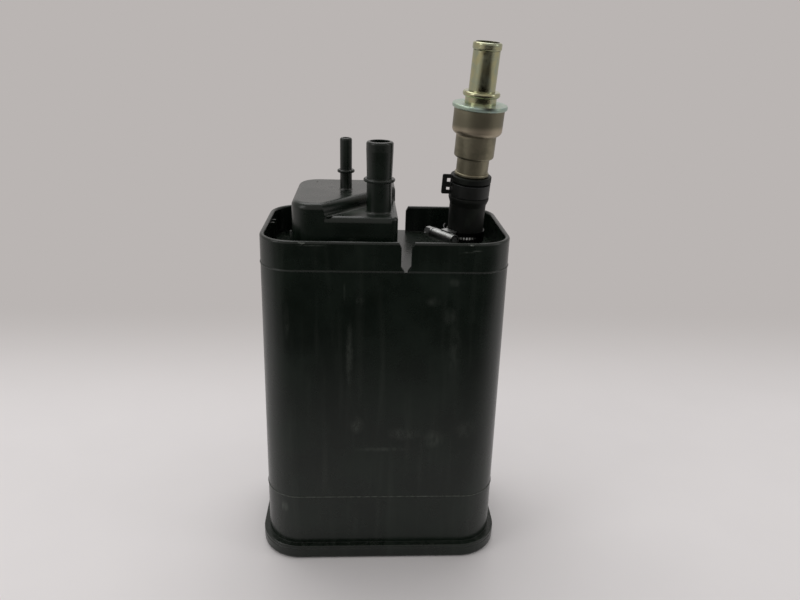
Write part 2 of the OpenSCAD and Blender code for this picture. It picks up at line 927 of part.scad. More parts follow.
// Slotted band, with a free tail that leaves it under the housing
module worm_clamp_band() {
    tail_in_r = tail_r - tail_sink;
    clear_angle = 40;
    slot_share = 0.5;
    slot_h = band_w * slot_share;
    color("#b8bcbf")
        at_worm_clamp() {
            difference() {
                rotate([0, 0, 180])
                    rotate_extrude()
                        translate([band_in_r, -band_w / 2])
                            square([band_t, band_w]);
                for (a = [clear_angle : band_slot_step : 360 - clear_angle])
                    rotate([0, 0, a])
                        translate([band_in_r - over, -band_slot_w / 2, -slot_h / 2])
                            cube([band_t + 2 * over, band_slot_w, slot_h]);
            }
            translate([band_out_r - tail_r, 0, 0])
                rotate([0, 0, -tail_sweep])
                    rotate_extrude(angle = tail_sweep + tail_start)
                        translate([tail_in_r, -band_w / 2])
                            square([band_t, band_w]);
        }
}

// Rolled barrel with a window over the band and two cheeks that reach round the band's edges
module worm_clamp_housing() {
    cheek_z = band_w / 2 + hose_fit;
    cheek_len = barrel_len / 2;
    color("#c6c9cb")
        at_worm_clamp() {
            difference() {
                translate([barrel_x, barrel_y0, 0])
                    rotate([-90, 0, 0])
                        cylinder(r = barrel_r, h = barrel_len);
                translate([barrel_x, barrel_y0 - over, 0])
                    rotate([-90, 0, 0])
                        cylinder(r = barrel_r - barrel_t, h = barrel_len + 2 * over);
                translate([barrel_x - barrel_r - over, -cheek_len / 2, -barrel_r / 2])
                    cube([barrel_r, cheek_len, barrel_r]);
            }
            for (side = [0, 1])
                mirror([0, 0, side])
                    translate([band_in_r + band_t / 2, -cheek_len / 2, cheek_z])
                        cube([barrel_x - band_in_r - band_t / 2, cheek_len, barrel_t]);
        }
}

module worm_clamp_screw() {
    slot_depth = head_len / 3;
    collar_y = barrel_y0 - collar_gap - collar_t;
    head_y = collar_y - head_len;
    color("#a9adb0")
        at_worm_clamp()
            translate([barrel_x, 0, 0])
                rotate([-90, 0, 0]) {
                    translate([0, 0, barrel_y0 - collar_gap])
                        cylinder(r = screw_r - thread_depth, h = collar_gap + barrel_len);
                    translate([0, 0, -barrel_len / 4])
                        cylinder(r = screw_r, h = barrel_len / 2);
                    translate([0, 0, collar_y])
                        cylinder(r = barrel_r, h = collar_t);
                    translate([0, 0, head_y])
                        difference() {
                            cylinder(d = head_w, h = head_len, $fn = 6);
                            translate([-head_w, -head_slot_w / 2, -over])
                                cube([2 * head_w, head_slot_w, slot_depth + over]);
                        }
                }
}

// Spring band with a wide ear and a narrow ear beside its opening. The wide ear has two openings, where
// the narrow one slides through when the clamp is squeezed.
module spring_clamp() {
    in_r = groove_r + hose_fit;
    out_r = in_r + spring_clamp_t;
    root_r = in_r + spring_clamp_t / 2;
    ear_r0 = max(out_r, hose_top_r) + 2 * hose_fit;
    ear_r1 = out_r + ear_len;
    mid_z = spring_clamp_w / 2;
    hole_z = (spring_clamp_w + ear_rise - ear_drop) / 2;
    color("#1b1c1e")
        leaning()
            translate([0, 0, spring_clamp_z])
                rotate([0, 0, ear_dir - lean_dir]) {
                    rotate([0, 0, ear_gap])
                        rotate_extrude(angle = 360 - 2 * ear_gap)
                            translate([in_r, 0])
                                square([spring_clamp_t, spring_clamp_w]);
                    spring_ear()
                        difference() {
                            union() {
                                translate([root_r, 0])
                                    square([ear_r1 - ear_corner_r - root_r, spring_clamp_w]);
                                edge_bar(ear_r0, ear_r1, -ear_drop, spring_clamp_w + ear_rise,
                                    ear_corner_r, ear_corner_r);
                            }
                            for (z = [hole_z - ear_bar_h / 2 - ear_hole_h, hole_z + ear_bar_h / 2])
                                translate([ear_r0 + hose_fit, z])
                                    square([ear_hole_w, ear_hole_h]);
                        }
                    mirror([0, 1, 0])
                        spring_ear()
                            edge_bar(root_r, out_r + tongue_len, mid_z - tongue_h / 2, mid_z + tongue_h / 2,
                                ear_corner_r, ear_corner_r);
                }
}

// Stands a flat ear, drawn as radius and height, on the end of the spring band
module spring_ear() {
    rotate([0, 0, ear_gap])
        translate([0, spring_clamp_t, 0])
            rotate([90, 0, 0])
                linear_extrude(spring_clamp_t)
                    children();
}

// Metal fitting

// Turned body: a stub in the hose, a collar and a wide cup, hollow all the way
module fitting_body() {
    step = body_wall;
    color("#8d877b")
        leaning()
            rotate_extrude()
                difference() {
                    union() {
                        edge_bar(0, stub_r, stub_foot, stub_top + step, 0, body_wall / 2);
                        edge_bar(0, collar_r, stub_top, cup_foot + step, 0, collar_edge_r);
                        edge_bar(0, cup_r, cup_foot, cup_top, body_wall / 4, cup_edge_r);
                        edge_bar(0, stub_bead_r, hose_top, hose_top + stub_bead_t, stub_bead_t / 3,
                            stub_bead_t / 3);
                    }
                    translate([0, stub_foot - over])
                        square([stub_r - body_wall, stub_top + 2 * step - stub_foot + over]);
                    translate([0, stub_top + step])
                        square([collar_r - body_wall, collar_len + over]);
                    translate([0, cup_foot + step])
                        square([cup_r - body_wall, cup_len]);
                }
}

module fitting_flange() {
    color("#b9c4b4")
        leaning()
            rotate_extrude()
                edge_bar(tube_r + spigot_fit, disc_r, cup_top, disc_top, disc_t / 3, disc_t / 3);
}

// Tube with a spigot in the disc, a neck, a stop bead and an end bead
module fitting_tube() {
    bore_r = tube_r - tube_wall;
    round_share = 0.4;
    stop_edge_r = stop_bead_t * round_share;
    color("#a89f68")
        leaning()
            rotate_extrude() {
                edge_bar(bore_r, tube_r, cup_top, tube_top - end_bead_t);
                edge_bar(bore_r, neck_r, disc_top, neck_top);
                edge_bar(bore_r, stop_bead_r, neck_top, tube_foot, stop_edge_r, stop_edge_r);
                edge_bar(bore_r, end_bead_r, tube_top - end_bead_t, tube_top, end_bead_t / 4, end_bead_t / 4);
            }
}

case();
bottom_cover();
carbon_bed_main();
carbon_bed_vent();
top_filter_main();
top_filter_vent();
bottom_filter_main();
bottom_filter_vent();
pressure_plate_main();
pressure_plate_vent();
spring_main_left();
spring_main_right();
spring_vent();
vent_hose();
worm_clamp_band();
worm_clamp_housing();
worm_clamp_screw();
spring_clamp();
fitting_body();
fitting_flange();
fitting_tube();
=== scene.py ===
"""Charcoal canister: the finishes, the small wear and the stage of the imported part.

The case is one black moulding with an open well, a vapour dome and two hose ports. A short rubber hose with
two clamps carries a plated metal fitting. The CAD pieces keep their shapes, and each gets the finish of its
real material. The weld flash along the bottom seam and the burrs on the rim are meshes of their own.
"""

import json
import math

import bpy
from bpy.props import FloatProperty, FloatVectorProperty, PointerProperty
from mathutils import Color, Matrix, Vector, noise


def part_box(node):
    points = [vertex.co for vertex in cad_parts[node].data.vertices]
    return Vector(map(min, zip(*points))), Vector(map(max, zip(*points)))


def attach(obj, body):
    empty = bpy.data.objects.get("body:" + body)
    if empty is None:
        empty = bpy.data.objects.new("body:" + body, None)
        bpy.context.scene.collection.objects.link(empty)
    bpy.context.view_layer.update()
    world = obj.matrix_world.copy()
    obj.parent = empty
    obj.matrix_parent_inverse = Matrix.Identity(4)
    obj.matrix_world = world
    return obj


bl_info = {
    "name": "Charcoal canister",
    "version": (1, 0, 0),
    "blender": (4, 5, 0),
    "location": "View3D > Sidebar > Canister",
    "description": "Gives a fuel-vapour canister its finishes, wear and stage",
    "category": "Object",
}

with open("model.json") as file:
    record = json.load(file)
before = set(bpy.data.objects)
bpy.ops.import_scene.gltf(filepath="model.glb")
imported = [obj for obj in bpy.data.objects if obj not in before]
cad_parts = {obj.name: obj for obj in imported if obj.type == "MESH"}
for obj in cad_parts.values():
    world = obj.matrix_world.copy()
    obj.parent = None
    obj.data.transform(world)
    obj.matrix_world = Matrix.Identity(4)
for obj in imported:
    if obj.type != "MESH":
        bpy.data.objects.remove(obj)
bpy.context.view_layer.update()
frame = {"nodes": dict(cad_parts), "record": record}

NODES = frame["nodes"]
MOUNTS = {mount["name"]: mount for mount in frame["record"]["mounts"]}
MM = 0.001
UP = Vector((0, 0, 1))
FRONT = Vector((0, -1, 0))

# Nodes that share one finish
MOULDED_NODES = ("case", "bottom_cover")
CARBON_NODES = ("carbon_bed_main", "carbon_bed_vent")
FELT_NODES = ("top_filter_main", "top_filter_vent", "bottom_filter_main", "bottom_filter_vent")
PLATE_NODES = ("pressure_plate_main", "pressure_plate_vent")
SPRING_NODES = ("spring_main_left", "spring_main_right", "spring_vent")
WORM_DRIVE_NODES = ("worm_clamp_housing", "worm_clamp_screw")

# Smudges and marks in millimetres: middle, half size and strength of each. A half size of 0 has no limit.
FRONT_SMUDGES = (
    ((-22.0, 0, 157.0), (3.2, 0, 29.0), 0.16),
    ((-25.2, 0, 201.0), (0.9, 0, 9.0), 0.07),
    ((-15.7, 0, 195.0), (4.0, 0, 4.5), 0.08),
    ((29.6, 0, 195.3), (6.0, 0, 4.5), 0.1),
    ((42.5, 0, 207.5), (8.0, 0, 4.0), 0.09),
    ((40.6, 0, 185.0), (7.5, 0, 8.0), 0.09),
    ((44.3, 0, 162.0), (6.0, 0, 28.0), 0.08),
    ((-60.9, 0, 181.0), (2.2, 0, 16.0), 0.08),
    ((-17.2, 0, 107.3), (6.0, 0, 9.0), 0.15),
    ((14.3, 0, 100.2), (15.0, 0, 7.0), 0.11),
    ((33.9, 0, 96.3), (9.0, 0, 9.5), 0.14),
    ((0.5, 0, 88.3), (26.0, 0, 2.4), 0.12),
    ((54.8, 0, 103.2), (10.0, 0, 11.0), 0.07),
    ((-67.2, 0, 40.9), (4.0, 0, 6.5), 0.25),
    ((-44.0, 0, 230.1), (12.0, 0, 0.7), 0.16),
    ((49.0, 0, 227.0), (6.0, 0, 0.7), 0.2),
    ((54.8, 0, 227.9), (5.0, 0, 0.6), 0.24),
)
DOME_SCRATCHES = (
    ((-45.4, 25.0, 253.0), (0.7, 4.0, 2.0), 1.0),
    ((-35.2, 10.0, 253.0), (2.8, 1.0, 2.0), 1.0),
)
LEDGE_DUST = (((-18.0, -22.0, 245.3), (20.0, 13.0, 2.5), 0.19),)
# Painted highlight, near white, on the front of the worm clamp band's row of slots, where light falls on
# their lips
BAND_HIGHLIGHT = (((53.0, -12.5, 225.4), (8.0, 5.0, 1.4), 1.0),)
CUP_TARNISH = (((0, 0, 300.0), (0, 0, 12.0), 1.0),)
# Painted reflection: a pale band round the cup's lower edge, where its rounding mirrors the floor
CUP_EDGE_REFLECTION = (((0, 0, 293.4), (0, 0, 4.3), 1.0),)
# Dark marks painted on the disc's front: a thin upright line, and a darker band along its front edge
DISC_DARK_MARKS = (
    ((58.3, -18.6, 0), (1.0, 5.0, 0), 1.0),
    ((59.7, -22.2, 308.0), (7.2, 6.8, 1.7), 1.0),
)
TUBE_STAINS = (
    ((56.3, -15.2, 318.8), (3.2, 6.0, 3.2), 1.0),
    ((55.9, -15.5, 323.0), (2.0, 6.0, 3.0), 0.4),
    ((56.2, -16.8, 339.0), (3.4, 6.0, 2.4), 0.65),
    ((56.6, -16.5, 334.5), (1.8, 6.0, 1.8), 0.4),
    ((55.8, -16.1, 312.0), (2.4, 6.0, 1.6), 0.45),
)
# The front's marks reach this far back from the weld flange, in millimetres
FRONT_DEPTH = 8.0
# Heights of the lower moulding line, whose edge is rubbed pale, and of the rim, in millimetres
LOW_LINE_Z = 50.0
RIM_Z = 232.5

# Sizes of the small patterns in millimetres. Stretched ones have a size along X, Y and Z.
WIPED_PATCH = (2.86, 2.86, 8.33)
WIPED_STREAK = (7.0, 7.0, 90.0)
DUST_SPECK = 3.5
MELT_FOLD = 2.5
TORN_SHRED = 1.1
MILKY_CLOUD = 12.0
WIRE_LINE = 0.7
RUBBER_BLOOM = 9.0
DULL_SPOT = 3.0
RUBBED_SPOT = 2.4
GRIME_SPECK = 1.2
TUBE_LINE = (1.11, 1.11, 25.0)
PAPER_MOTTLE = 60.0
# Drawing lines on the hose are this many times as long as they are wide
HOSE_LINE_STRETCH = 16

# Corner radius of the weld flange, seen from above, in millimetres
FLANGE_CORNER_R = 28.15
# Burrs on the front rim in millimetres: name, first and last X, drop below the rim and how far they stand off
RIM_BURRS = (
    ("rim_burr_left", -52.6, -48.4, 1.2, 0.4),
    ("rim_burr_right", 48.9, 52.9, 1.0, 0.4),
)

# The floor turns into the backdrop between these distances from the part, and between these Y behind it, in
# millimetres. The flag, a black scrim in front of the part, grows dense between its two Y.
FLOOR_FADE = (300.0, 1500.0)
FLOOR_RISE = (90.0, 420.0)
FLAG_GROWS = (-82.0, -430.0)
# Corners and heights of the stage's two sheets, in metres
FLOOR_SHEET = ((-8, -8), (8, 8), 0)
FLAG_SHEET = ((-1.2, -2.5), (1.2, -0.07), 0.002)
# Softboxes: name, place, point that each looks at, width and depth in metres, and power in watts
SOFTBOXES = (
    ("overhead_softbox", (-0.15, 0.5, 1.45), (0, 0, 0.1), 1.3, 1.0, 9.0),
    ("left_softbox", (-1.1, -0.55, 0.75), (0, 0, 0.15), 0.5, 0.9, 2.6),
    ("right_softbox", (1.15, -0.35, 0.7), (0, 0, 0.15), 0.35, 0.8, 1.2),
    ("back_softbox", (0, 1.75, 0.95), (0, 0, 0.25), 2.4, 0.9, 1.3),
)
SENSOR_WIDTH_MM = 36.0

POLYAMIDE_IOR = 1.53
# How much rougher full dust makes the plastic, and how strong the tube's rings are beside its lines
DUST_ROUGHENS = 0.3
TUBE_RING_SHARE = 0.25

# Sockets of a Mix node that is set to colours: its share, the colour under, the colour over and the result
SHARE = 0
UNDER = 6
OVER = 7
MIXED = 2


def linear(hex_colour):
    """Scene-linear red, green and blue of an sRGB colour such as "#8d877b"."""
    shares = [int(hex_colour[i : i + 2], 16) / 255 for i in (1, 3, 5)]
    return [c / 12.92 if c <= 0.04045 else ((c + 0.055) / 1.055) ** 2.4 for c in shares]


def tint(name, description, hex_colour):
    """A colour property with its default as an sRGB hex value."""
    return FloatVectorProperty(
        name=name,
        description=description,
        default=linear(hex_colour),
        subtype="COLOR",
        min=0.0,
        max=1.0,
    )


def length(name, description, millimetres):
    """A length property with its default in millimetres."""
    return FloatProperty(
        name=name,
        description=description,
        default=millimetres * MM,
        min=0.05 * MM,
        unit="LENGTH",
        subtype="DISTANCE",
    )


def angle(name, description, degrees):
    """An angle property with its default in degrees."""
    return FloatProperty(
        name=name,
        description=description,
        default=math.radians(degrees),
        unit="ROTATION",
        subtype="ANGLE",
    )


class CaseLook(bpy.types.PropertyGroup):
    """Finish of the moulded case and its bottom cover."""

    plastic: tint("Plastic", "Colour of the moulded plastic", "#0a120c")
    faded: tint("Faded plastic", "Colour of the plastic where it has dulled", "#101a13")
    dust: tint("Dust", "Colour of the dust and of rubbed places", "#70756d")
    grain: length("Grain", "Size of the moulding grain", 1.4)
    cloud: length("Clouds", "Size of the dull and dark areas", 38.0)
    edge: length("Edge rounding", "Rounding of the moulding's sharp edges", 0.5)
    flash: length("Weld flash", "Radius of the bead that the weld pressed out of the seam", 0.55)


class CarbonLook(bpy.types.PropertyGroup):
    """Finish of the carbon stack inside the case."""

    carbon: tint("Carbon", "Colour of the carbon pellets", "#161616")
    carbon_dust: tint("Carbon dust", "Colour of the dust on the pellets", "#262626")
    felt: tint("Felt", "Colour of the felt's fibres", "#cfcabc")
    felt_gap: tint("Felt's gaps", "Colour between the felt's fibres", "#a8a294")
    plate: tint("Plates", "Colour of the pressure plates", "#b2b5ac")
    plate_milky: tint("Milky plates", "Colour of the plates' paler clouds", "#c4c6bd")
    wire: tint("Springs", "Colour of the spring wire", "#9a9fa4")
    wire_line: tint("Springs' lines", "Colour of the drawing lines on the wire", "#6f7377")
    pellet: length("Pellets", "Width of a carbon pellet", 2.2)
    fibre: length("Fibres", "Spacing of the felt's fibres", 0.8)


class HoseLook(bpy.types.PropertyGroup):
    """Finish of the rubber hose and its two clamps."""

    rubber: tint("Rubber", "Colour of the hose", "#0a0d0a")
    bloom: tint("Bloom", "Colour of the grey bloom on the rubber", "#20261f")
    strip: tint("Worm clamp", "Colour of the zinc-plated strip", "#989a98")
    strip_bright: tint("Bright crystals", "Colour of the strip's brightest zinc crystals", "#b4b7b6")
    strip_dull: tint("Dull spots", "Colour of the strip's dull rubbed spots", "#75756f")
    # The band's colour is painted near black: it stands in for the dark well that the band mirrors
    band: tint("Clamp's band", "Colour of the dull film on the worm clamp's band", "#191a1a")
    # Painted highlight: this near-white colour stands in for light that falls on the lips of the band's slots
    rust: tint("White rust", "Colour of the white zinc rust on the band's slots", "#f4f4f0")
    black: tint("Spring clamp", "Colour of the blackened spring steel", "#0e110f")
    black_worn: tint("Worn edges", "Colour of the spring clamp where its black coat is rubbed", "#6b6f72")
    line: length("Drawing lines", "Spacing of the hose's drawing lines", 1.2)
    spangle: length("Spangle", "Width of a zinc crystal", 2.0)


class FittingLook(bpy.types.PropertyGroup):
    """Finish of the plated metal fitting."""

    body: tint("Body", "Colour of the turned body", "#908b77")
    body_dark: tint("Dull body", "Colour of the body where its plating has dulled", "#7c7866")
    # Colour of the painted reflection on the cup's lower edge
    rubbed: tint("Rubbed edge", "Colour of the cup's lower edge, rubbed bright", "#b4a994")
    disc: tint("Disc", "Colour of the passivated disc", "#a6b6a1")
    disc_blue: tint("Disc's sheen", "Second colour of the passivated disc", "#9caea6")
    # Colour of the dark marks painted on the disc's front
    stain: tint("Disc's stain", "Colour of the dark stain on the disc", "#1d1d14")
    tube: tint("Tube", "Colour of the yellow-chromated tube", "#bbb78f")
    tube_green: tint("Tube's sheen", "Second colour of the chromated tube", "#a8af97")
    grime: tint("Tube's grime", "Colour of the dark spots on the tube", "#2a2714")
    turning: length("Turning marks", "Spacing of the tool marks", 0.9)
    patch: length("Patches", "Size of the patches in the plating", 7.0)


class StageLook(bpy.types.PropertyGroup):
    """Floor, light and camera."""

    floor: tint("Floor", "Colour of the floor", "#e6e2e2")
    floor_shade: tint("Floor's mottle", "Second colour of the floor", "#e2dede")
    backdrop: tint("Backdrop", "Colour of the space behind the floor", "#bab5b3")
    flag: tint("Flag", "Colour of the scrim that the front faces mirror", "#0a0a0a")
    light: tint("Light", "Colour of the light from all round", "#fffefd")
    ambient: FloatProperty(
        name="Ambient light",
        description="Strength of the light from all round",
        default=0.5,
        min=0.0,
    )
    camera_place: FloatVectorProperty(
        name="Camera",
        description="Place of the camera",
        default=(-0.0141, -0.4261, 0.3473),
        subtype="TRANSLATION",
        unit="LENGTH",
    )
    camera_pitch: angle("Pitch", "How far the camera looks down", 21.7206)
    camera_yaw: angle("Yaw", "How far the camera looks to the right", 3.4709)
    camera_roll: angle("Roll", "How far the camera is turned about its own line of sight", 1.7924)
    camera_lens: FloatProperty(
        name="Lens",
        description="Focal length for a frame 36 mm wide, in millimetres",
        default=29.91,
        subtype="DISTANCE_CAMERA",
    )


def add(tree, kind, inputs=(), **settings):
    """Adds one shader node, sets its own settings, and fills or links its inputs. Colours are opaque."""
    made = tree.nodes.new("ShaderNode" + kind)
    for name, value in settings.items():
        setattr(made, name, value)
    for key, value in dict(inputs).items():
        if isinstance(value, bpy.types.NodeSocket):
            tree.links.new(value, made.inputs[key])
        elif isinstance(value, Color):
            made.inputs[key].default_value = (*value, 1.0)
        else:
            made.inputs[key].default_value = value
    return made


def start_finish(name):
    """A new material, its empty node tree, and the place on the part in millimetres."""
    finish = bpy.data.materials.new(name)
    finish.use_nodes = True
    tree = finish.node_tree
    tree.nodes.clear()
    place = add(tree, "TexCoord")
    place_mm = add(tree, "VectorMath", {0: place.outputs["Object"], "Scale": 1 / MM}, operation="SCALE")
    return finish, tree, place_mm.outputs["Vector"]


def end_finish(tree, surface):
    """Links the finished surface to the material's output."""
    add(tree, "OutputMaterial", {"Surface": surface.outputs[0]})


def scales(sizes):
    """The scales along X, Y and Z of what has these sizes. A size of 0 has no limit."""
    return [1 / size if size else 0 for size in sizes]


def soft_spots(tree, place_mm, spots):
    """Share of each place that a list of soft spots covers."""
    total = None
    for middle, half, strength in spots:
        from_middle = add(tree, "VectorMath", {0: place_mm, 1: middle}, operation="SUBTRACT")
        spread = add(
            tree,
            "VectorMath",
            {0: from_middle.outputs["Vector"], 1: scales(half)},
            operation="MULTIPLY",
        )
        reach = add(tree, "VectorMath", {0: spread.outputs["Vector"]}, operation="LENGTH")
        share = add(
            tree,
            "MapRange",
            {"Value": reach.outputs["Value"], "From Min": 1.0, "From Max": 0.1, "To Max": strength},
            interpolation_type="SMOOTHSTEP",
        )
        if total is None:
            total = share.outputs["Result"]
        else:
            both = add(tree, "Math", {0: total, 1: share.outputs["Result"]}, operation="MAXIMUM")
            total = both.outputs[0]
    return total


def wall_marks(tree, place_mm):
    """Share of dust and rubbing on the walls: smudges in front, a rubbed moulding line and wiped streaks."""
    axes = add(tree, "SeparateXYZ", {"Vector": place_mm})
    front_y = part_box("case")[0].y / MM + FRONT_DEPTH
    in_front = add(tree, "Math", {0: axes.outputs["Y"], 1: front_y}, operation="LESS_THAN")
    spots = soft_spots(tree, place_mm, FRONT_SMUDGES)
    smudged = add(tree, "Math", {0: spots, 1: in_front.outputs[0]}, operation="MULTIPLY")
    above_line = add(tree, "Math", {0: axes.outputs["Z"], 1: LOW_LINE_Z}, operation="SUBTRACT")
    off_line = add(tree, "Math", {0: above_line.outputs[0]}, operation="ABSOLUTE")
    rubbed = add(
        tree,
        "MapRange",
        {"Value": off_line.outputs[0], "From Min": 0.5, "From Max": 0.2, "To Max": 0.4},
    )
    marked = add(tree, "Math", {0: smudged.outputs[0], 1: rubbed.outputs["Result"]}, operation="MAXIMUM")
    wiped_at = add(tree, "VectorMath", {0: place_mm, 1: scales(WIPED_PATCH)}, operation="MULTIPLY")
    wiped = add(tree, "TexNoise", {"Vector": wiped_at.outputs["Vector"], "Scale": 1.0, "Detail": 4.0})
    broken = add(
        tree,
        "MapRange",
        {"Value": wiped.outputs["Fac"], "From Min": 0.3, "From Max": 0.65, "To Min": 0.2},
        interpolation_type="SMOOTHSTEP",
    )
    patchy = add(tree, "Math", {0: marked.outputs[0], 1: broken.outputs["Result"]}, operation="MULTIPLY")
    # A cloth drawn down the walls left faint upright streaks of dust all round
    streaks_at = add(tree, "VectorMath", {0: place_mm, 1: scales(WIPED_STREAK)}, operation="MULTIPLY")
    streaks = add(tree, "TexNoise", {"Vector": streaks_at.outputs["Vector"], "Scale": 1.0, "Detail": 3.0})
    faint = add(
        tree,
        "MapRange",
        {"Value": streaks.outputs["Fac"], "From Min": 0.5, "From Max": 0.8, "To Max": 0.05},
    )
    below_rim = add(tree, "Math", {0: axes.outputs["Z"], 1: RIM_Z}, operation="LESS_THAN")
    streaked = add(tree, "Math", {0: faint.outputs["Result"], 1: below_rim.outputs[0]}, operation="MULTIPLY")
    all_marks = add(tree, "Math", {0: patchy.outputs[0], 1: streaked.outputs[0]}, operation="MAXIMUM")
    return all_marks.outputs[0]


def settled_dust(tree, place_mm):
    """Share of dust that has settled on faces that look up, in specks and soft patches."""
    facing = add(tree, "NewGeometry")
    upward = add(tree, "SeparateXYZ", {"Vector": facing.outputs["Normal"]})
    level = add(
        tree,
        "MapRange",
        {"Value": upward.outputs["Z"], "From Min": 0.6, "From Max": 1.0, "To Max": 0.14},
    )
    specks = add(
        tree,
        "TexNoise",
        {"Vector": place_mm, "Scale": 1 / DUST_SPECK, "Detail": 6.0, "Roughness": 0.7},
    )
    patches = add(tree, "MapRange", {"Value": specks.outputs["Fac"], "From Min": 0.42, "From Max": 0.75})
    specked = add(
        tree,
        "Math",
        {0: level.outputs["Result"], 1: patches.outputs["Result"]},
        operation="MULTIPLY",
    )
    on_ledge = soft_spots(tree, place_mm, LEDGE_DUST)
    return add(tree, "Math", {0: specked.outputs[0], 1: on_ledge}, operation="ADD").outputs[0]


def moulded_polyamide(look):
    """Glass-filled polyamide, injection moulded: near black, with a soft gloss broken by fine grain, dull
    clouds where fuel vapour and heat have aged it, dust on what faces up, and pale rubbed marks in front."""
    finish, tree, place_mm = start_finish("moulded_polyamide")
    clouds = add(
        tree,
        "TexNoise",
        {"Vector": place_mm, "Scale": MM / look.cloud, "Detail": 5.0, "Roughness": 0.6},
    )
    aged = add(
        tree,
        "MapRange",
        {"Value": clouds.outputs["Fac"], "From Min": 0.35, "From Max": 0.7},
        interpolation_type="SMOOTHSTEP",
    )
    plastic = add(
        tree,
        "Mix",
        {SHARE: aged.outputs["Result"], UNDER: look.plastic, OVER: look.faded},
        data_type="RGBA",
    )
    lying = settled_dust(tree, place_mm)
    marks = wall_marks(tree, place_mm)
    dusty = add(tree, "Math", {0: lying, 1: marks}, operation="MAXIMUM")
    dusted = add(
        tree,
        "Mix",
        {SHARE: dusty.outputs[0], UNDER: plastic.outputs[MIXED], OVER: look.dust},
        data_type="RGBA",
    )
    gloss = add(
        tree,
        "MapRange",
        {"Value": clouds.outputs["Fac"], "From Min": 0.3, "From Max": 0.7, "To Min": 0.22, "To Max": 0.32},
    )
    dulled = add(
        tree,
        "Math",
        {0: dusty.outputs[0], 1: DUST_ROUGHENS, 2: gloss.outputs["Result"]},
        operation="MULTIPLY_ADD",
    )
    rounded = add(tree, "Bevel", {"Radius": look.edge}, samples=6)
    sinks = add(tree, "TexNoise", {"Vector": place_mm, "Scale": MM / (2 * look.cloud), "Detail": 1.0})
    wavy = add(
        tree,
        "Bump",
        {
            "Height": sinks.outputs["Fac"],
            "Distance": 1.2 * MM,
            "Strength": 0.4,
            "Normal": rounded.outputs["Normal"],
        },
    )
    # The real grain is finer than a pixel, so it is drawn several times coarser and shallow
    grain = add(tree, "TexNoise", {"Vector": place_mm, "Scale": MM / look.grain, "Detail": 3.0})
    grained = add(
        tree,
        "Bump",
        {
            "Height": grain.outputs["Fac"],
            "Distance": 0.08 * MM,
            "Strength": 0.35,
            "Normal": wavy.outputs["Normal"],
        },
    )
    scratches = soft_spots(tree, place_mm, DOME_SCRATCHES)
    scratched = add(
        tree,
        "Bump",
        {"Height": scratches, "Distance": 0.5 * MM, "Strength": 1.0, "Normal": grained.outputs["Normal"]},
        invert=True,
    )
    surface = add(
        tree,
        "BsdfPrincipled",
        {
            "Base Color": dusted.outputs[MIXED],
            "Roughness": dulled.outputs[0],
            "IOR": POLYAMIDE_IOR,
            "Specular IOR Level": 0.38,
            "Normal": scratched.outputs["Normal"],
        },
    )
    end_finish(tree, surface)
    return finish


def pressed_weld_flash(look):
    """Polyamide melted by the hot plate and pressed out of the seam: glossier than the moulded skin."""
    finish, tree, place_mm = start_finish("pressed_weld_flash")
    folds = add(tree, "TexNoise", {"Vector": place_mm, "Scale": 1 / MELT_FOLD, "Detail": 3.0})
    melt = add(
        tree,
        "Mix",
        {SHARE: folds.outputs["Fac"], UNDER: look.plastic, OVER: look.faded},
        data_type="RGBA",
    )
    lumps = add(tree, "Bump", {"Height": folds.outputs["Fac"], "Distance": 0.2 * MM, "Strength": 0.5})
    surface = add(
        tree,
        "BsdfPrincipled",
        {
            "Base Color": melt.outputs[MIXED],
            "Roughness": 0.28,
            "IOR": POLYAMIDE_IOR,
            "Normal": lumps.outputs["Normal"],
        },
    )
    end_finish(tree, surface)
    return finish


def torn_polyamide(look):
    """Polyamide torn or scraped at the rim: the stretched plastic has turned pale and dull."""
    finish, tree, place_mm = start_finish("torn_polyamide")
    shreds = add(tree, "TexNoise", {"Vector": place_mm, "Scale": 1 / TORN_SHRED, "Detail": 4.0})
    pale = add(tree, "MapRange", {"Value": shreds.outputs["Fac"], "From Min": 0.4, "From Max": 0.65})
    torn = add(
        tree,
        "Mix",
        {SHARE: pale.outputs["Result"], UNDER: look.faded, OVER: look.dust},
        data_type="RGBA",
    )
    ragged = add(tree, "Bump", {"Height": shreds.outputs["Fac"], "Distance": 0.2 * MM, "Strength": 0.6})
    surface = add(
        tree,
        "BsdfPrincipled",
        {
            "Base Color": torn.outputs[MIXED],
            "Roughness": 0.55,
            "IOR": POLYAMIDE_IOR,
            "Normal": ragged.outputs["Normal"],
        },
    )
    end_finish(tree, surface)
    return finish


def activated_carbon_pellets(look):
    """Activated carbon, extruded to pellets: matt black grains with dark gaps between them."""
    finish, tree, place_mm = start_finish("activated_carbon_pellets")
    pellets = add(tree, "TexVoronoi", {"Vector": place_mm, "Scale": MM / look.pellet})
    soot = add(tree, "TexNoise", {"Vector": place_mm, "Scale": 2 * MM / look.pellet, "Detail": 3.0})
    shade = add(
        tree,
        "Mix",
        {SHARE: soot.outputs["Fac"], UNDER: look.carbon, OVER: look.carbon_dust},
        data_type="RGBA",
    )
    heaped = add(
        tree,
        "Bump",
        {"Height": pellets.outputs["Distance"], "Distance": 0.8 * MM, "Strength": 1.0},
        invert=True,
    )
    surface = add(
        tree,
        "BsdfPrincipled",
        {"Base Color": shade.outputs[MIXED], "Roughness": 0.85, "Normal": heaped.outputs["Normal"]},
    )
    end_finish(tree, surface)
    return finish


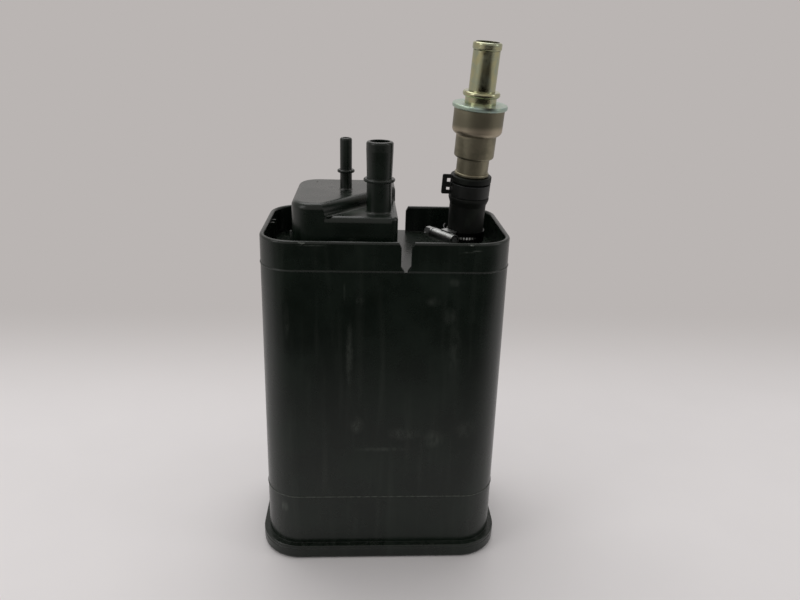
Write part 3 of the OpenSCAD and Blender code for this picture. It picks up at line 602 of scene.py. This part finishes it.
def needled_polyester_felt(look):
    """Polyester fibres needled to a felt: off-white, matt, with a fibrous nap."""
    finish, tree, place_mm = start_finish("needled_polyester_felt")
    # A real fibre is finer than a pixel, so the fibres are drawn as coarse tufts
    fibres = add(
        tree,
        "TexNoise",
        {"Vector": place_mm, "Scale": MM / look.fibre, "Detail": 6.0, "Distortion": 2.0},
    )
    tone = add(
        tree,
        "Mix",
        {SHARE: fibres.outputs["Fac"], UNDER: look.felt_gap, OVER: look.felt},
        data_type="RGBA",
    )
    nap = add(tree, "Bump", {"Height": fibres.outputs["Fac"], "Distance": 0.4 * MM, "Strength": 0.8})
    surface = add(
        tree,
        "BsdfPrincipled",
        {
            "Base Color": tone.outputs[MIXED],
            "Roughness": 0.95,
            "Sheen Weight": 0.3,
            "Normal": nap.outputs["Normal"],
        },
    )
    end_finish(tree, surface)
    return finish


def natural_polypropylene(look):
    """Polypropylene without pigment, injection moulded: milky grey with a waxy gloss."""
    finish, tree, place_mm = start_finish("natural_polypropylene")
    milk = add(tree, "TexNoise", {"Vector": place_mm, "Scale": 1 / MILKY_CLOUD, "Detail": 3.0})
    tone = add(
        tree,
        "Mix",
        {SHARE: milk.outputs["Fac"], UNDER: look.plate, OVER: look.plate_milky},
        data_type="RGBA",
    )
    skin = add(tree, "Bump", {"Height": milk.outputs["Fac"], "Distance": 0.3 * MM, "Strength": 0.3})
    surface = add(
        tree,
        "BsdfPrincipled",
        {
            "Base Color": tone.outputs[MIXED],
            "Roughness": 0.45,
            "IOR": 1.49,
            "Normal": skin.outputs["Normal"],
        },
    )
    end_finish(tree, surface)
    return finish


def drawn_spring_wire(look):
    """Spring steel, drawn through a die: grey metal with fine dark lines that break up its gloss."""
    finish, tree, place_mm = start_finish("drawn_spring_wire")
    # The real lines are finer than a pixel, so they are drawn several times coarser
    lines = add(
        tree,
        "TexNoise",
        {"Vector": place_mm, "Scale": 1 / WIRE_LINE, "Detail": 3.0, "Distortion": 0.6},
    )
    gloss = add(tree, "MapRange", {"Value": lines.outputs["Fac"], "To Min": 0.25, "To Max": 0.45})
    tone = add(
        tree,
        "Mix",
        {SHARE: lines.outputs["Fac"], UNDER: look.wire_line, OVER: look.wire},
        data_type="RGBA",
    )
    surface = add(
        tree,
        "BsdfPrincipled",
        {"Base Color": tone.outputs[MIXED], "Metallic": 1.0, "Roughness": gloss.outputs["Result"]},
    )
    end_finish(tree, surface)
    return finish


def extruded_rubber(look):
    """EPDM rubber, extruded and cured: soft black with lengthwise drawing lines and patches of grey bloom."""
    finish, tree, place_mm = start_finish("extruded_epdm_rubber")
    bloom = add(
        tree,
        "TexNoise",
        {"Vector": place_mm, "Scale": 1 / RUBBER_BLOOM, "Detail": 5.0, "Roughness": 0.6},
    )
    bloomed = add(
        tree,
        "MapRange",
        {"Value": bloom.outputs["Fac"], "From Min": 0.48, "From Max": 0.75, "To Max": 0.5},
        interpolation_type="SMOOTHSTEP",
    )
    tone = add(
        tree,
        "Mix",
        {SHARE: bloomed.outputs["Result"], UNDER: look.rubber, OVER: look.bloom},
        data_type="RGBA",
    )
    line_mm = look.line / MM
    line_sizes = (line_mm, line_mm, HOSE_LINE_STRETCH * line_mm)
    lines_at = add(tree, "VectorMath", {0: place_mm, 1: scales(line_sizes)}, operation="MULTIPLY")
    lines = add(tree, "TexNoise", {"Vector": lines_at.outputs["Vector"], "Scale": 1.0, "Detail": 2.0})
    drawn = add(tree, "Bump", {"Height": lines.outputs["Fac"], "Distance": 0.12 * MM, "Strength": 0.6})
    gloss = add(tree, "MapRange", {"Value": bloom.outputs["Fac"], "To Min": 0.42, "To Max": 0.66})
    surface = add(
        tree,
        "BsdfPrincipled",
        {
            "Base Color": tone.outputs[MIXED],
            "Roughness": gloss.outputs["Result"],
            "IOR": 1.5,
            "Specular IOR Level": 0.22,
            "Normal": drawn.outputs["Normal"],
        },
    )
    end_finish(tree, surface)
    return finish


def zinc_plated_strip(look):
    """Mild steel strip, rolled and zinc plated: pale grey metal with faint crystals and dull rubbed spots."""
    finish, tree, place_mm = start_finish("zinc_plated_strip")
    crystals = add(tree, "TexVoronoi", {"Vector": place_mm, "Scale": MM / look.spangle})
    facets = add(tree, "SeparateColor", {"Color": crystals.outputs["Color"]})
    tone = add(
        tree,
        "Mix",
        {SHARE: facets.outputs["Red"], UNDER: look.strip, OVER: look.strip_bright},
        data_type="RGBA",
    )
    dull = add(tree, "TexNoise", {"Vector": place_mm, "Scale": 1 / DULL_SPOT, "Detail": 4.0})
    darkened = add(
        tree,
        "MapRange",
        {"Value": dull.outputs["Fac"], "From Min": 0.55, "From Max": 0.8, "To Max": 0.5},
    )
    spotted = add(
        tree,
        "Mix",
        {SHARE: darkened.outputs["Result"], UNDER: tone.outputs[MIXED], OVER: look.strip_dull},
        data_type="RGBA",
    )
    gloss = add(tree, "MapRange", {"Value": dull.outputs["Fac"], "To Min": 0.2, "To Max": 0.5})
    rolled = add(tree, "Bump", {"Height": dull.outputs["Fac"], "Distance": 0.1 * MM, "Strength": 0.3})
    surface = add(
        tree,
        "BsdfPrincipled",
        {
            "Base Color": spotted.outputs[MIXED],
            "Metallic": 1.0,
            "Roughness": gloss.outputs["Result"],
            "Normal": rolled.outputs["Normal"],
        },
    )
    end_finish(tree, surface)
    return finish


def band_with_painted_light(look):
    """Zinc-plated strip with painted light: painted near black and dull, which stands in for the dark well
    that it mirrors, and a near-white painted highlight along the front of the row of slots, where light falls
    on their lips."""
    finish, tree, place_mm = start_finish("zinc_strip_with_painted_light")
    # Share of the painted highlight on the slots
    highlit = soft_spots(tree, place_mm, BAND_HIGHLIGHT)
    tone = add(
        tree,
        "Mix",
        {SHARE: highlit, UNDER: look.band, OVER: look.rust},
        data_type="RGBA",
    )
    rub = add(tree, "TexNoise", {"Vector": place_mm, "Scale": 1 / RUBBED_SPOT, "Detail": 5.0})
    gloss = add(tree, "MapRange", {"Value": rub.outputs["Fac"], "To Min": 0.3, "To Max": 0.5})
    # The painted highlight on the slots is no metal
    metal = add(tree, "MapRange", {"Value": highlit, "To Min": 1.0, "To Max": 0.1})
    eased = add(tree, "Bevel", {"Radius": 0.2 * MM}, samples=4)
    surface = add(
        tree,
        "BsdfPrincipled",
        {
            "Base Color": tone.outputs[MIXED],
            "Metallic": metal.outputs["Result"],
            "Roughness": gloss.outputs["Result"],
            "Normal": eased.outputs["Normal"],
        },
    )
    end_finish(tree, surface)
    return finish


def blackened_spring_steel(look):
    """Spring steel, bent and blackened: a thin black coat with a low gloss, rubbed through on its edges."""
    finish, tree, place_mm = start_finish("blackened_spring_steel")
    rub = add(tree, "TexNoise", {"Vector": place_mm, "Scale": 1 / RUBBED_SPOT, "Detail": 5.0})
    # An edge is where the eased normal turns away from the true face
    true_face = add(tree, "NewGeometry")
    eased = add(tree, "Bevel", {"Radius": 0.4 * MM}, samples=4)
    turn = add(
        tree,
        "VectorMath",
        {0: true_face.outputs["Normal"], 1: eased.outputs["Normal"]},
        operation="DOT_PRODUCT",
    )
    edge = add(
        tree,
        "MapRange",
        {"Value": turn.outputs["Value"], "From Min": 0.99, "From Max": 0.8, "To Max": 0.6},
    )
    worn = add(tree, "Math", {0: edge.outputs["Result"], 1: rub.outputs["Fac"]}, operation="MULTIPLY")
    tone = add(
        tree,
        "Mix",
        {SHARE: worn.outputs[0], UNDER: look.black, OVER: look.black_worn},
        data_type="RGBA",
    )
    gloss = add(tree, "MapRange", {"Value": rub.outputs["Fac"], "To Min": 0.35, "To Max": 0.55})
    surface = add(
        tree,
        "BsdfPrincipled",
        {
            "Base Color": tone.outputs[MIXED],
            "Roughness": gloss.outputs["Result"],
            "IOR": 1.6,
            "Specular IOR Level": 0.35,
            "Normal": eased.outputs["Normal"],
        },
    )
    end_finish(tree, surface)
    return finish


def turning_rings(tree, place_mm, look):
    """Rings that a lathe or die left round the leaning fitting, along its own axis. Real tool marks are about
    0.1 mm apart, so these are drawn coarser to show."""
    axis = MOUNTS["vent_tube"]["axis"]
    height = add(tree, "VectorMath", {0: place_mm, 1: axis}, operation="DOT_PRODUCT")
    rings = add(
        tree,
        "TexNoise",
        {"W": height.outputs["Value"], "Scale": MM / look.turning, "Detail": 2.0},
        noise_dimensions="1D",
    )
    return rings.outputs["Fac"]


def turned_plated_steel(look):
    """Steel, turned on a lathe and zinc-nickel plated: warm grey with fine rings round it and dull patches,
    and a painted reflection that makes a pale band round the cup's lower edge."""
    finish, tree, place_mm = start_finish("turned_plated_steel")
    patches = add(tree, "TexNoise", {"Vector": place_mm, "Scale": MM / look.patch, "Detail": 5.0})
    tarnish = add(
        tree,
        "MapRange",
        {"Value": patches.outputs["Fac"], "From Min": 0.4, "From Max": 0.68},
        interpolation_type="SMOOTHSTEP",
    )
    on_cup = soft_spots(tree, place_mm, CUP_TARNISH)
    dull = add(tree, "Math", {0: tarnish.outputs["Result"], 1: on_cup}, operation="MAXIMUM")
    plated = add(
        tree,
        "Mix",
        {SHARE: dull.outputs[0], UNDER: look.body, OVER: look.body_dark},
        data_type="RGBA",
    )
    # Share of the painted reflection round the cup's lower edge
    bright = soft_spots(tree, place_mm, CUP_EDGE_REFLECTION)
    tone = add(
        tree,
        "Mix",
        {SHARE: bright, UNDER: plated.outputs[MIXED], OVER: look.rubbed},
        data_type="RGBA",
    )
    gloss = add(tree, "MapRange", {"Value": patches.outputs["Fac"], "To Min": 0.36, "To Max": 0.52})
    rings = turning_rings(tree, place_mm, look)
    turned = add(tree, "Bump", {"Height": rings, "Distance": 0.06 * MM, "Strength": 0.5})
    surface = add(
        tree,
        "BsdfPrincipled",
        {
            "Base Color": tone.outputs[MIXED],
            "Metallic": 1.0,
            "Roughness": gloss.outputs["Result"],
            "Normal": turned.outputs["Normal"],
        },
    )
    end_finish(tree, surface)
    return finish


def passivated_zinc(look):
    """Zinc plate with a clear passivation: pale metal whose thin film turns from green to blue, with dark
    marks painted in front."""
    finish, tree, place_mm = start_finish("clear_passivated_zinc")
    film = add(
        tree,
        "TexNoise",
        {"Vector": place_mm, "Scale": MM / look.patch, "Detail": 3.0, "Distortion": 1.0},
    )
    sheen = add(tree, "MapRange", {"Value": film.outputs["Fac"], "From Min": 0.35, "From Max": 0.65})
    tone = add(
        tree,
        "Mix",
        {SHARE: sheen.outputs["Result"], UNDER: look.disc, OVER: look.disc_blue},
        data_type="RGBA",
    )
    dark = soft_spots(tree, place_mm, DISC_DARK_MARKS)
    darkened = add(
        tree,
        "Mix",
        {SHARE: dark, UNDER: tone.outputs[MIXED], OVER: look.stain},
        data_type="RGBA",
    )
    gloss = add(tree, "MapRange", {"Value": film.outputs["Fac"], "To Min": 0.22, "To Max": 0.4})
    surface = add(
        tree,
        "BsdfPrincipled",
        {"Base Color": darkened.outputs[MIXED], "Metallic": 0.55, "Roughness": gloss.outputs["Result"]},
    )
    end_finish(tree, surface)
    return finish


def yellow_chromated_tube(look):
    """Drawn steel tube, zinc plated and yellow chromated: straw to olive, glossy, with lengthwise lines and a
    few specked dark spots."""
    finish, tree, place_mm = start_finish("yellow_chromated_zinc")
    film = add(
        tree,
        "TexNoise",
        {"Vector": place_mm, "Scale": MM / look.patch, "Detail": 4.0, "Distortion": 0.8},
    )
    sheen = add(tree, "MapRange", {"Value": film.outputs["Fac"], "From Min": 0.35, "From Max": 0.65})
    tone = add(
        tree,
        "Mix",
        {SHARE: sheen.outputs["Result"], UNDER: look.tube, OVER: look.tube_green},
        data_type="RGBA",
    )
    grime = add(tree, "TexNoise", {"Vector": place_mm, "Scale": 1 / GRIME_SPECK, "Detail": 4.0})
    specked = add(tree, "MapRange", {"Value": grime.outputs["Fac"], "From Min": 0.3, "From Max": 0.55})
    spots = soft_spots(tree, place_mm, TUBE_STAINS)
    grimy = add(tree, "Math", {0: spots, 1: specked.outputs["Result"]}, operation="MULTIPLY")
    darkened = add(
        tree,
        "Mix",
        {SHARE: grimy.outputs[0], UNDER: tone.outputs[MIXED], OVER: look.grime},
        data_type="RGBA",
    )
    lines_at = add(tree, "VectorMath", {0: place_mm, 1: scales(TUBE_LINE)}, operation="MULTIPLY")
    lines = add(tree, "TexNoise", {"Vector": lines_at.outputs["Vector"], "Scale": 1.0, "Detail": 3.0})
    rings = turning_rings(tree, place_mm, look)
    both = add(
        tree,
        "Math",
        {0: rings, 1: TUBE_RING_SHARE, 2: lines.outputs["Fac"]},
        operation="MULTIPLY_ADD",
    )
    drawn = add(tree, "Bump", {"Height": both.outputs[0], "Distance": 0.05 * MM, "Strength": 0.5})
    gloss = add(tree, "MapRange", {"Value": film.outputs["Fac"], "To Min": 0.12, "To Max": 0.28})
    surface = add(
        tree,
        "BsdfPrincipled",
        {
            "Base Color": darkened.outputs[MIXED],
            "Metallic": 1.0,
            "Roughness": gloss.outputs["Result"],
            "Normal": drawn.outputs["Normal"],
        },
    )
    end_finish(tree, surface)
    return finish


def seen_ray(tree):
    """1 for a ray from the camera, a mirror or a glass, and 0 for the light that falls on the part."""
    ray = add(tree, "LightPath")
    seen = ray.outputs["Is Camera Ray"]
    for kind in ("Is Glossy Ray", "Is Transmission Ray"):
        seen = add(tree, "Math", {0: seen, 1: ray.outputs[kind]}, operation="MAXIMUM").outputs[0]
    return seen


def matt_floor(look):
    """Matt paper: pale and without gloss, and it fades into the backdrop behind the part and far from it."""
    finish, tree, place_mm = start_finish("matt_paper_sweep")
    mottle = add(tree, "TexNoise", {"Vector": place_mm, "Scale": 1 / PAPER_MOTTLE, "Detail": 4.0})
    tone = add(
        tree,
        "Mix",
        {SHARE: mottle.outputs["Fac"], UNDER: look.floor_shade, OVER: look.floor},
        data_type="RGBA",
    )
    paper = add(
        tree,
        "BsdfPrincipled",
        {"Base Color": tone.outputs[MIXED], "Roughness": 0.95, "Specular IOR Level": 0.2},
    )
    backdrop = add(tree, "Emission", {"Color": look.backdrop, "Strength": 1.0})
    away = add(tree, "VectorMath", {0: place_mm}, operation="LENGTH")
    fade = add(
        tree,
        "MapRange",
        {"Value": away.outputs["Value"], "From Min": FLOOR_FADE[0], "From Max": FLOOR_FADE[1]},
        interpolation_type="SMOOTHSTEP",
    )
    axes = add(tree, "SeparateXYZ", {"Vector": place_mm})
    rise = add(
        tree,
        "MapRange",
        {"Value": axes.outputs["Y"], "From Min": FLOOR_RISE[0], "From Max": FLOOR_RISE[1]},
        interpolation_type="SMOOTHSTEP",
    )
    swept = add(tree, "Math", {0: fade.outputs["Result"], 1: rise.outputs["Result"]}, operation="MAXIMUM")
    faded = add(tree, "Math", {0: swept.outputs[0], 1: seen_ray(tree)}, operation="MULTIPLY")
    surface = add(tree, "MixShader", {0: faded.outputs[0], 1: paper.outputs[0], 2: backdrop.outputs[0]})
    end_finish(tree, surface)
    return finish


def black_scrim(look):
    """Black scrim that lies before the part and thins out towards it: it darkens what front faces mirror."""
    finish, tree, place_mm = start_finish("black_scrim")
    axes = add(tree, "SeparateXYZ", {"Vector": place_mm})
    cover = add(
        tree,
        "MapRange",
        {"Value": axes.outputs["Y"], "From Min": FLAG_GROWS[0], "From Max": FLAG_GROWS[1]},
    )
    gaps = add(tree, "BsdfTransparent")
    cloth = add(tree, "BsdfDiffuse", {"Color": look.flag})
    surface = add(tree, "MixShader", {0: cover.outputs["Result"], 1: gaps.outputs[0], 2: cloth.outputs[0]})
    end_finish(tree, surface)
    return finish


def give_finish(names, finish):
    """Puts one finish on CAD nodes, in place of the plain colours they were packed with."""
    for name in names:
        mesh = NODES[name].data
        mesh.materials.clear()
        mesh.materials.append(finish)


def loft(name, rings, finish, closed=False):
    """Makes a piece with a skin through rings of points. An open one gets a cap at each end."""
    sides = len(rings[0])
    points = [point for ring in rings for point in ring]
    spans = len(rings) if closed else len(rings) - 1
    faces = []
    for i in range(spans):
        this = i * sides
        after = (i + 1) % len(rings) * sides
        for j in range(sides):
            k = (j + 1) % sides
            faces.append((this + j, this + k, after + k, after + j))
    if not closed:
        faces.append(tuple(reversed(range(sides))))
        faces.append(tuple(range(len(points) - sides, len(points))))
    mesh = bpy.data.meshes.new(name)
    mesh.from_pydata(points, [], faces)
    mesh.polygons.foreach_set("use_smooth", [True] * len(faces))
    mesh.materials.append(finish)
    piece = bpy.data.objects.new(name, mesh)
    bpy.context.scene.collection.objects.link(piece)
    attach(piece, "root")


def seam_path(half_w, half_d, corner_r, step):
    """Points and outward directions round a rounded rectangle, anticlockwise from its right side."""
    quarter = math.pi / 2
    signs = ((1, 1), (-1, 1), (-1, -1), (1, -1))
    middles = [Vector((sx * (half_w - corner_r), sy * (half_d - corner_r), 0)) for sx, sy in signs]
    path = []
    for turn, middle in enumerate(middles):
        arc_steps = round(corner_r * quarter / step)
        for i in range(arc_steps):
            heading = (turn + i / arc_steps) * quarter
            out = Vector((math.cos(heading), math.sin(heading), 0))
            path.append((middle + corner_r * out, out))
        heading = (turn + 1) * quarter
        out = Vector((math.cos(heading), math.sin(heading), 0))
        after = middles[(turn + 1) % len(middles)]
        side_steps = round((after - middle).length / step)
        for i in range(side_steps):
            path.append((middle.lerp(after, i / side_steps) + corner_r * out, out))
    return path


def weld_flash(look, finish):
    """The uneven bead that the hot-plate weld pressed out between the case's flange and the cover."""
    foot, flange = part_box("case")
    step = 2 * MM
    sink = 0.75 * MM
    wander, wander_size = 0.15 * MM, 9 * MM
    bulge, bulge_size = 0.35, 6 * MM
    bead, bead_size = 0.2, 2 * MM
    sides = 8
    rings = []
    for point, out in seam_path(flange.x, flange.y, FLANGE_CORNER_R * MM, step):
        swell = 1 + bulge * noise.noise(point / bulge_size) + bead * noise.noise(point / bead_size)
        middle = point - sink * out
        middle.z = foot.z + wander * noise.noise(point / wander_size)
        ring = []
        for j in range(sides):
            turn = 2 * math.pi * j / sides
            ring.append(middle + look.flash * swell * (math.cos(turn) * out + math.sin(turn) * UP))
        rings.append(ring)
    loft("weld_flash", rings, finish, closed=True)


def front_of_case(x, z):
    """The point where the case's front face is met, looking back along Y at that X and height."""
    start_y = -0.5
    found, place, _, _ = NODES["case"].ray_cast(Vector((x, start_y, z)), -FRONT)
    if not found:
        raise RuntimeError(f"no front face of the case at x {x:.4f} and z {z:.4f}")
    return place


def rim_burr(name, x0, x1, drop, lift, finish):
    """A ragged lip of scraped plastic that hangs on the front rim from x0 to x1."""
    thick = 0.18 * MM
    sink = 0.1 * MM
    root_stand = 0.05 * MM
    least_drop = 0.25 * MM
    below_rim = 0.7 * MM
    high = RIM_Z * MM - below_rim
    # Size of the tears and of the curls, and the row of the noise that each follows
    tear_size, tear_row = 1.3 * MM, 3.1
    curl_size, curl_row = 0.9 * MM, 7.7
    stations = 28
    rings = []
    for i in range(stations + 1):
        share = i / stations
        x = x0 + share * (x1 - x0)
        fade = math.sin(math.pi * share) ** 0.5
        ragged = 0.75 + 0.5 * noise.noise(Vector((x / tear_size, tear_row, 0)))
        curled = 0.6 + 0.6 * noise.noise(Vector((x / curl_size, curl_row, 0)))
        low = high - max(least_drop, drop * ragged * fade)
        stand = lift * fade * curled
        top = front_of_case(x, high)
        foot = front_of_case(x, low)
        rings.append(
            [
                top - sink * FRONT,
                top + (root_stand + thick) * FRONT,
                foot + (stand + thick) * FRONT,
                foot + (stand - sink) * FRONT,
            ]
        )
    loft(name, rings, finish)


class CANISTER_OT_case(bpy.types.Operator):
    """Finishes the moulded case and its bottom cover, with the weld flash and the burrs on the rim"""

    bl_idname = "canister.case"
    bl_label = "Case and bottom cover"

    def execute(self, context):
        look = context.scene.canister_case
        give_finish(MOULDED_NODES, moulded_polyamide(look))
        weld_flash(look, pressed_weld_flash(look))
        torn = torn_polyamide(look)
        for name, x0, x1, drop, lift in RIM_BURRS:
            rim_burr(name, x0 * MM, x1 * MM, drop * MM, lift * MM, torn)
        return {"FINISHED"}


class CANISTER_OT_carbon_stack(bpy.types.Operator):
    """Finishes the carbon beds, felt pads, pressure plates and springs inside the case"""

    bl_idname = "canister.carbon_stack"
    bl_label = "Carbon stack"

    def execute(self, context):
        look = context.scene.canister_carbon
        give_finish(CARBON_NODES, activated_carbon_pellets(look))
        give_finish(FELT_NODES, needled_polyester_felt(look))
        give_finish(PLATE_NODES, natural_polypropylene(look))
        give_finish(SPRING_NODES, drawn_spring_wire(look))
        return {"FINISHED"}


class CANISTER_OT_hose(bpy.types.Operator):
    """Finishes the rubber hose"""

    bl_idname = "canister.hose"
    bl_label = "Hose"

    def execute(self, context):
        give_finish(["vent_hose"], extruded_rubber(context.scene.canister_hose))
        return {"FINISHED"}


class CANISTER_OT_clamps(bpy.types.Operator):
    """Finishes the worm-drive clamp and the spring clamp on the hose"""

    bl_idname = "canister.clamps"
    bl_label = "Clamps"

    def execute(self, context):
        look = context.scene.canister_hose
        give_finish(WORM_DRIVE_NODES, zinc_plated_strip(look))
        give_finish(["worm_clamp_band"], band_with_painted_light(look))
        give_finish(["spring_clamp"], blackened_spring_steel(look))
        return {"FINISHED"}


class CANISTER_OT_fitting(bpy.types.Operator):
    """Finishes the body, disc and tube of the metal fitting"""

    bl_idname = "canister.fitting"
    bl_label = "Metal fitting"

    def execute(self, context):
        look = context.scene.canister_fitting
        give_finish(["fitting_body"], turned_plated_steel(look))
        give_finish(["fitting_flange"], passivated_zinc(look))
        give_finish(["fitting_tube"], yellow_chromated_tube(look))
        return {"FINISHED"}


def sheet(name, low, high, z, finish):
    """A flat rectangle of the stage between two corners."""
    corners = [(low[0], low[1], z), (high[0], low[1], z), (high[0], high[1], z), (low[0], high[1], z)]
    mesh = bpy.data.meshes.new(name)
    mesh.from_pydata(corners, [], [(0, 1, 2, 3)])
    mesh.materials.append(finish)
    flat = bpy.data.objects.new(name, mesh)
    bpy.context.scene.collection.objects.link(flat)
    return flat


def softbox(name, place, target, width, depth, power):
    """A soft rectangular lamp that looks at a point, and that the camera doesn't see."""
    lamp = bpy.data.lights.new(name, "AREA")
    lamp.shape = "RECTANGLE"
    lamp.size = width
    lamp.size_y = depth
    lamp.energy = power
    holder = bpy.data.objects.new(name, lamp)
    holder.location = place
    holder.rotation_euler = (Vector(target) - Vector(place)).to_track_quat("-Z", "Y").to_euler()
    holder.visible_camera = False
    bpy.context.scene.collection.objects.link(holder)


def photo_camera(look):
    """The camera at the photograph's viewing angle."""
    pitch, yaw, roll = look.camera_pitch, look.camera_yaw, look.camera_roll
    ahead = Vector((math.cos(pitch) * math.sin(yaw), math.cos(pitch) * math.cos(yaw), -math.sin(pitch)))
    level_right = ahead.cross(UP).normalized()
    level_up = level_right.cross(ahead)
    right = math.cos(roll) * level_right + math.sin(roll) * level_up
    up = math.cos(roll) * level_up - math.sin(roll) * level_right
    turned = Matrix((right, up, -ahead)).transposed().to_4x4()
    camera = bpy.data.cameras.new("photo_camera")
    camera.sensor_width = SENSOR_WIDTH_MM
    camera.lens = look.camera_lens
    camera.clip_start = 0.01
    holder = bpy.data.objects.new("photo_camera", camera)
    holder.matrix_world = Matrix.Translation(look.camera_place) @ turned
    bpy.context.scene.collection.objects.link(holder)
    bpy.context.scene.camera = holder


def surrounding_light(look):
    """Even light from all round. What the camera and mirrors see of it has the backdrop's colour."""
    world = bpy.data.worlds.new("studio")
    bpy.context.scene.world = world
    world.use_nodes = True
    tree = world.node_tree
    tree.nodes.clear()
    light = add(tree, "Background", {"Color": look.light, "Strength": look.ambient})
    backdrop = add(tree, "Background", {"Color": look.backdrop, "Strength": 1.0})
    chosen = add(tree, "MixShader", {0: seen_ray(tree), 1: light.outputs[0], 2: backdrop.outputs[0]})
    add(tree, "OutputWorld", {"Surface": chosen.outputs[0]})


class CANISTER_OT_stage(bpy.types.Operator):
    """Makes the floor, the soft light and the camera"""

    bl_idname = "canister.stage"
    bl_label = "Stage"

    def execute(self, context):
        look = context.scene.canister_stage
        sheet("floor", *FLOOR_SHEET, matt_floor(look))
        # Only mirrors see the flag, so it gives no shade
        flag = sheet("flag", *FLAG_SHEET, black_scrim(look))
        flag.visible_camera = False
        flag.visible_diffuse = False
        flag.visible_shadow = False
        flag.visible_transmission = False
        for lamp in SOFTBOXES:
            softbox(*lamp)
        surrounding_light(look)
        photo_camera(look)
        context.scene.view_settings.view_transform = "Standard"
        return {"FINISHED"}


OPERATORS = (
    CANISTER_OT_case,
    CANISTER_OT_carbon_stack,
    CANISTER_OT_hose,
    CANISTER_OT_clamps,
    CANISTER_OT_fitting,
    CANISTER_OT_stage,
)

LOOKS = {
    "canister_case": CaseLook,
    "canister_carbon": CarbonLook,
    "canister_hose": HoseLook,
    "canister_fitting": FittingLook,
    "canister_stage": StageLook,
}


class CANISTER_PT_sidebar(bpy.types.Panel):
    """Lists the canister's pieces and their finishes"""

    bl_idname = "CANISTER_PT_sidebar"
    bl_label = "Charcoal canister"
    bl_space_type = "VIEW_3D"
    bl_region_type = "UI"
    bl_category = "Canister"

    def draw(self, context):
        for operator in OPERATORS:
            self.layout.operator(operator.bl_idname)
        for name, look in LOOKS.items():
            box = self.layout.box()
            for prop in look.__annotations__:
                box.prop(getattr(context.scene, name), prop)


def register():
    for look in LOOKS.values():
        bpy.utils.register_class(look)
    for name, look in LOOKS.items():
        setattr(bpy.types.Scene, name, PointerProperty(type=look))
    for operator in OPERATORS:
        bpy.utils.register_class(operator)
    bpy.utils.register_class(CANISTER_PT_sidebar)


def unregister():
    bpy.utils.unregister_class(CANISTER_PT_sidebar)
    for operator in reversed(OPERATORS):
        bpy.utils.unregister_class(operator)
    for name in LOOKS:
        delattr(bpy.types.Scene, name)
    for look in reversed(LOOKS.values()):
        bpy.utils.unregister_class(look)


def main():
    register()
    bpy.ops.canister.case()
    bpy.ops.canister.carbon_stack()
    bpy.ops.canister.hose()
    bpy.ops.canister.clamps()
    bpy.ops.canister.fitting()
    bpy.ops.canister.stage()


if __name__ == "__main__":
    main()
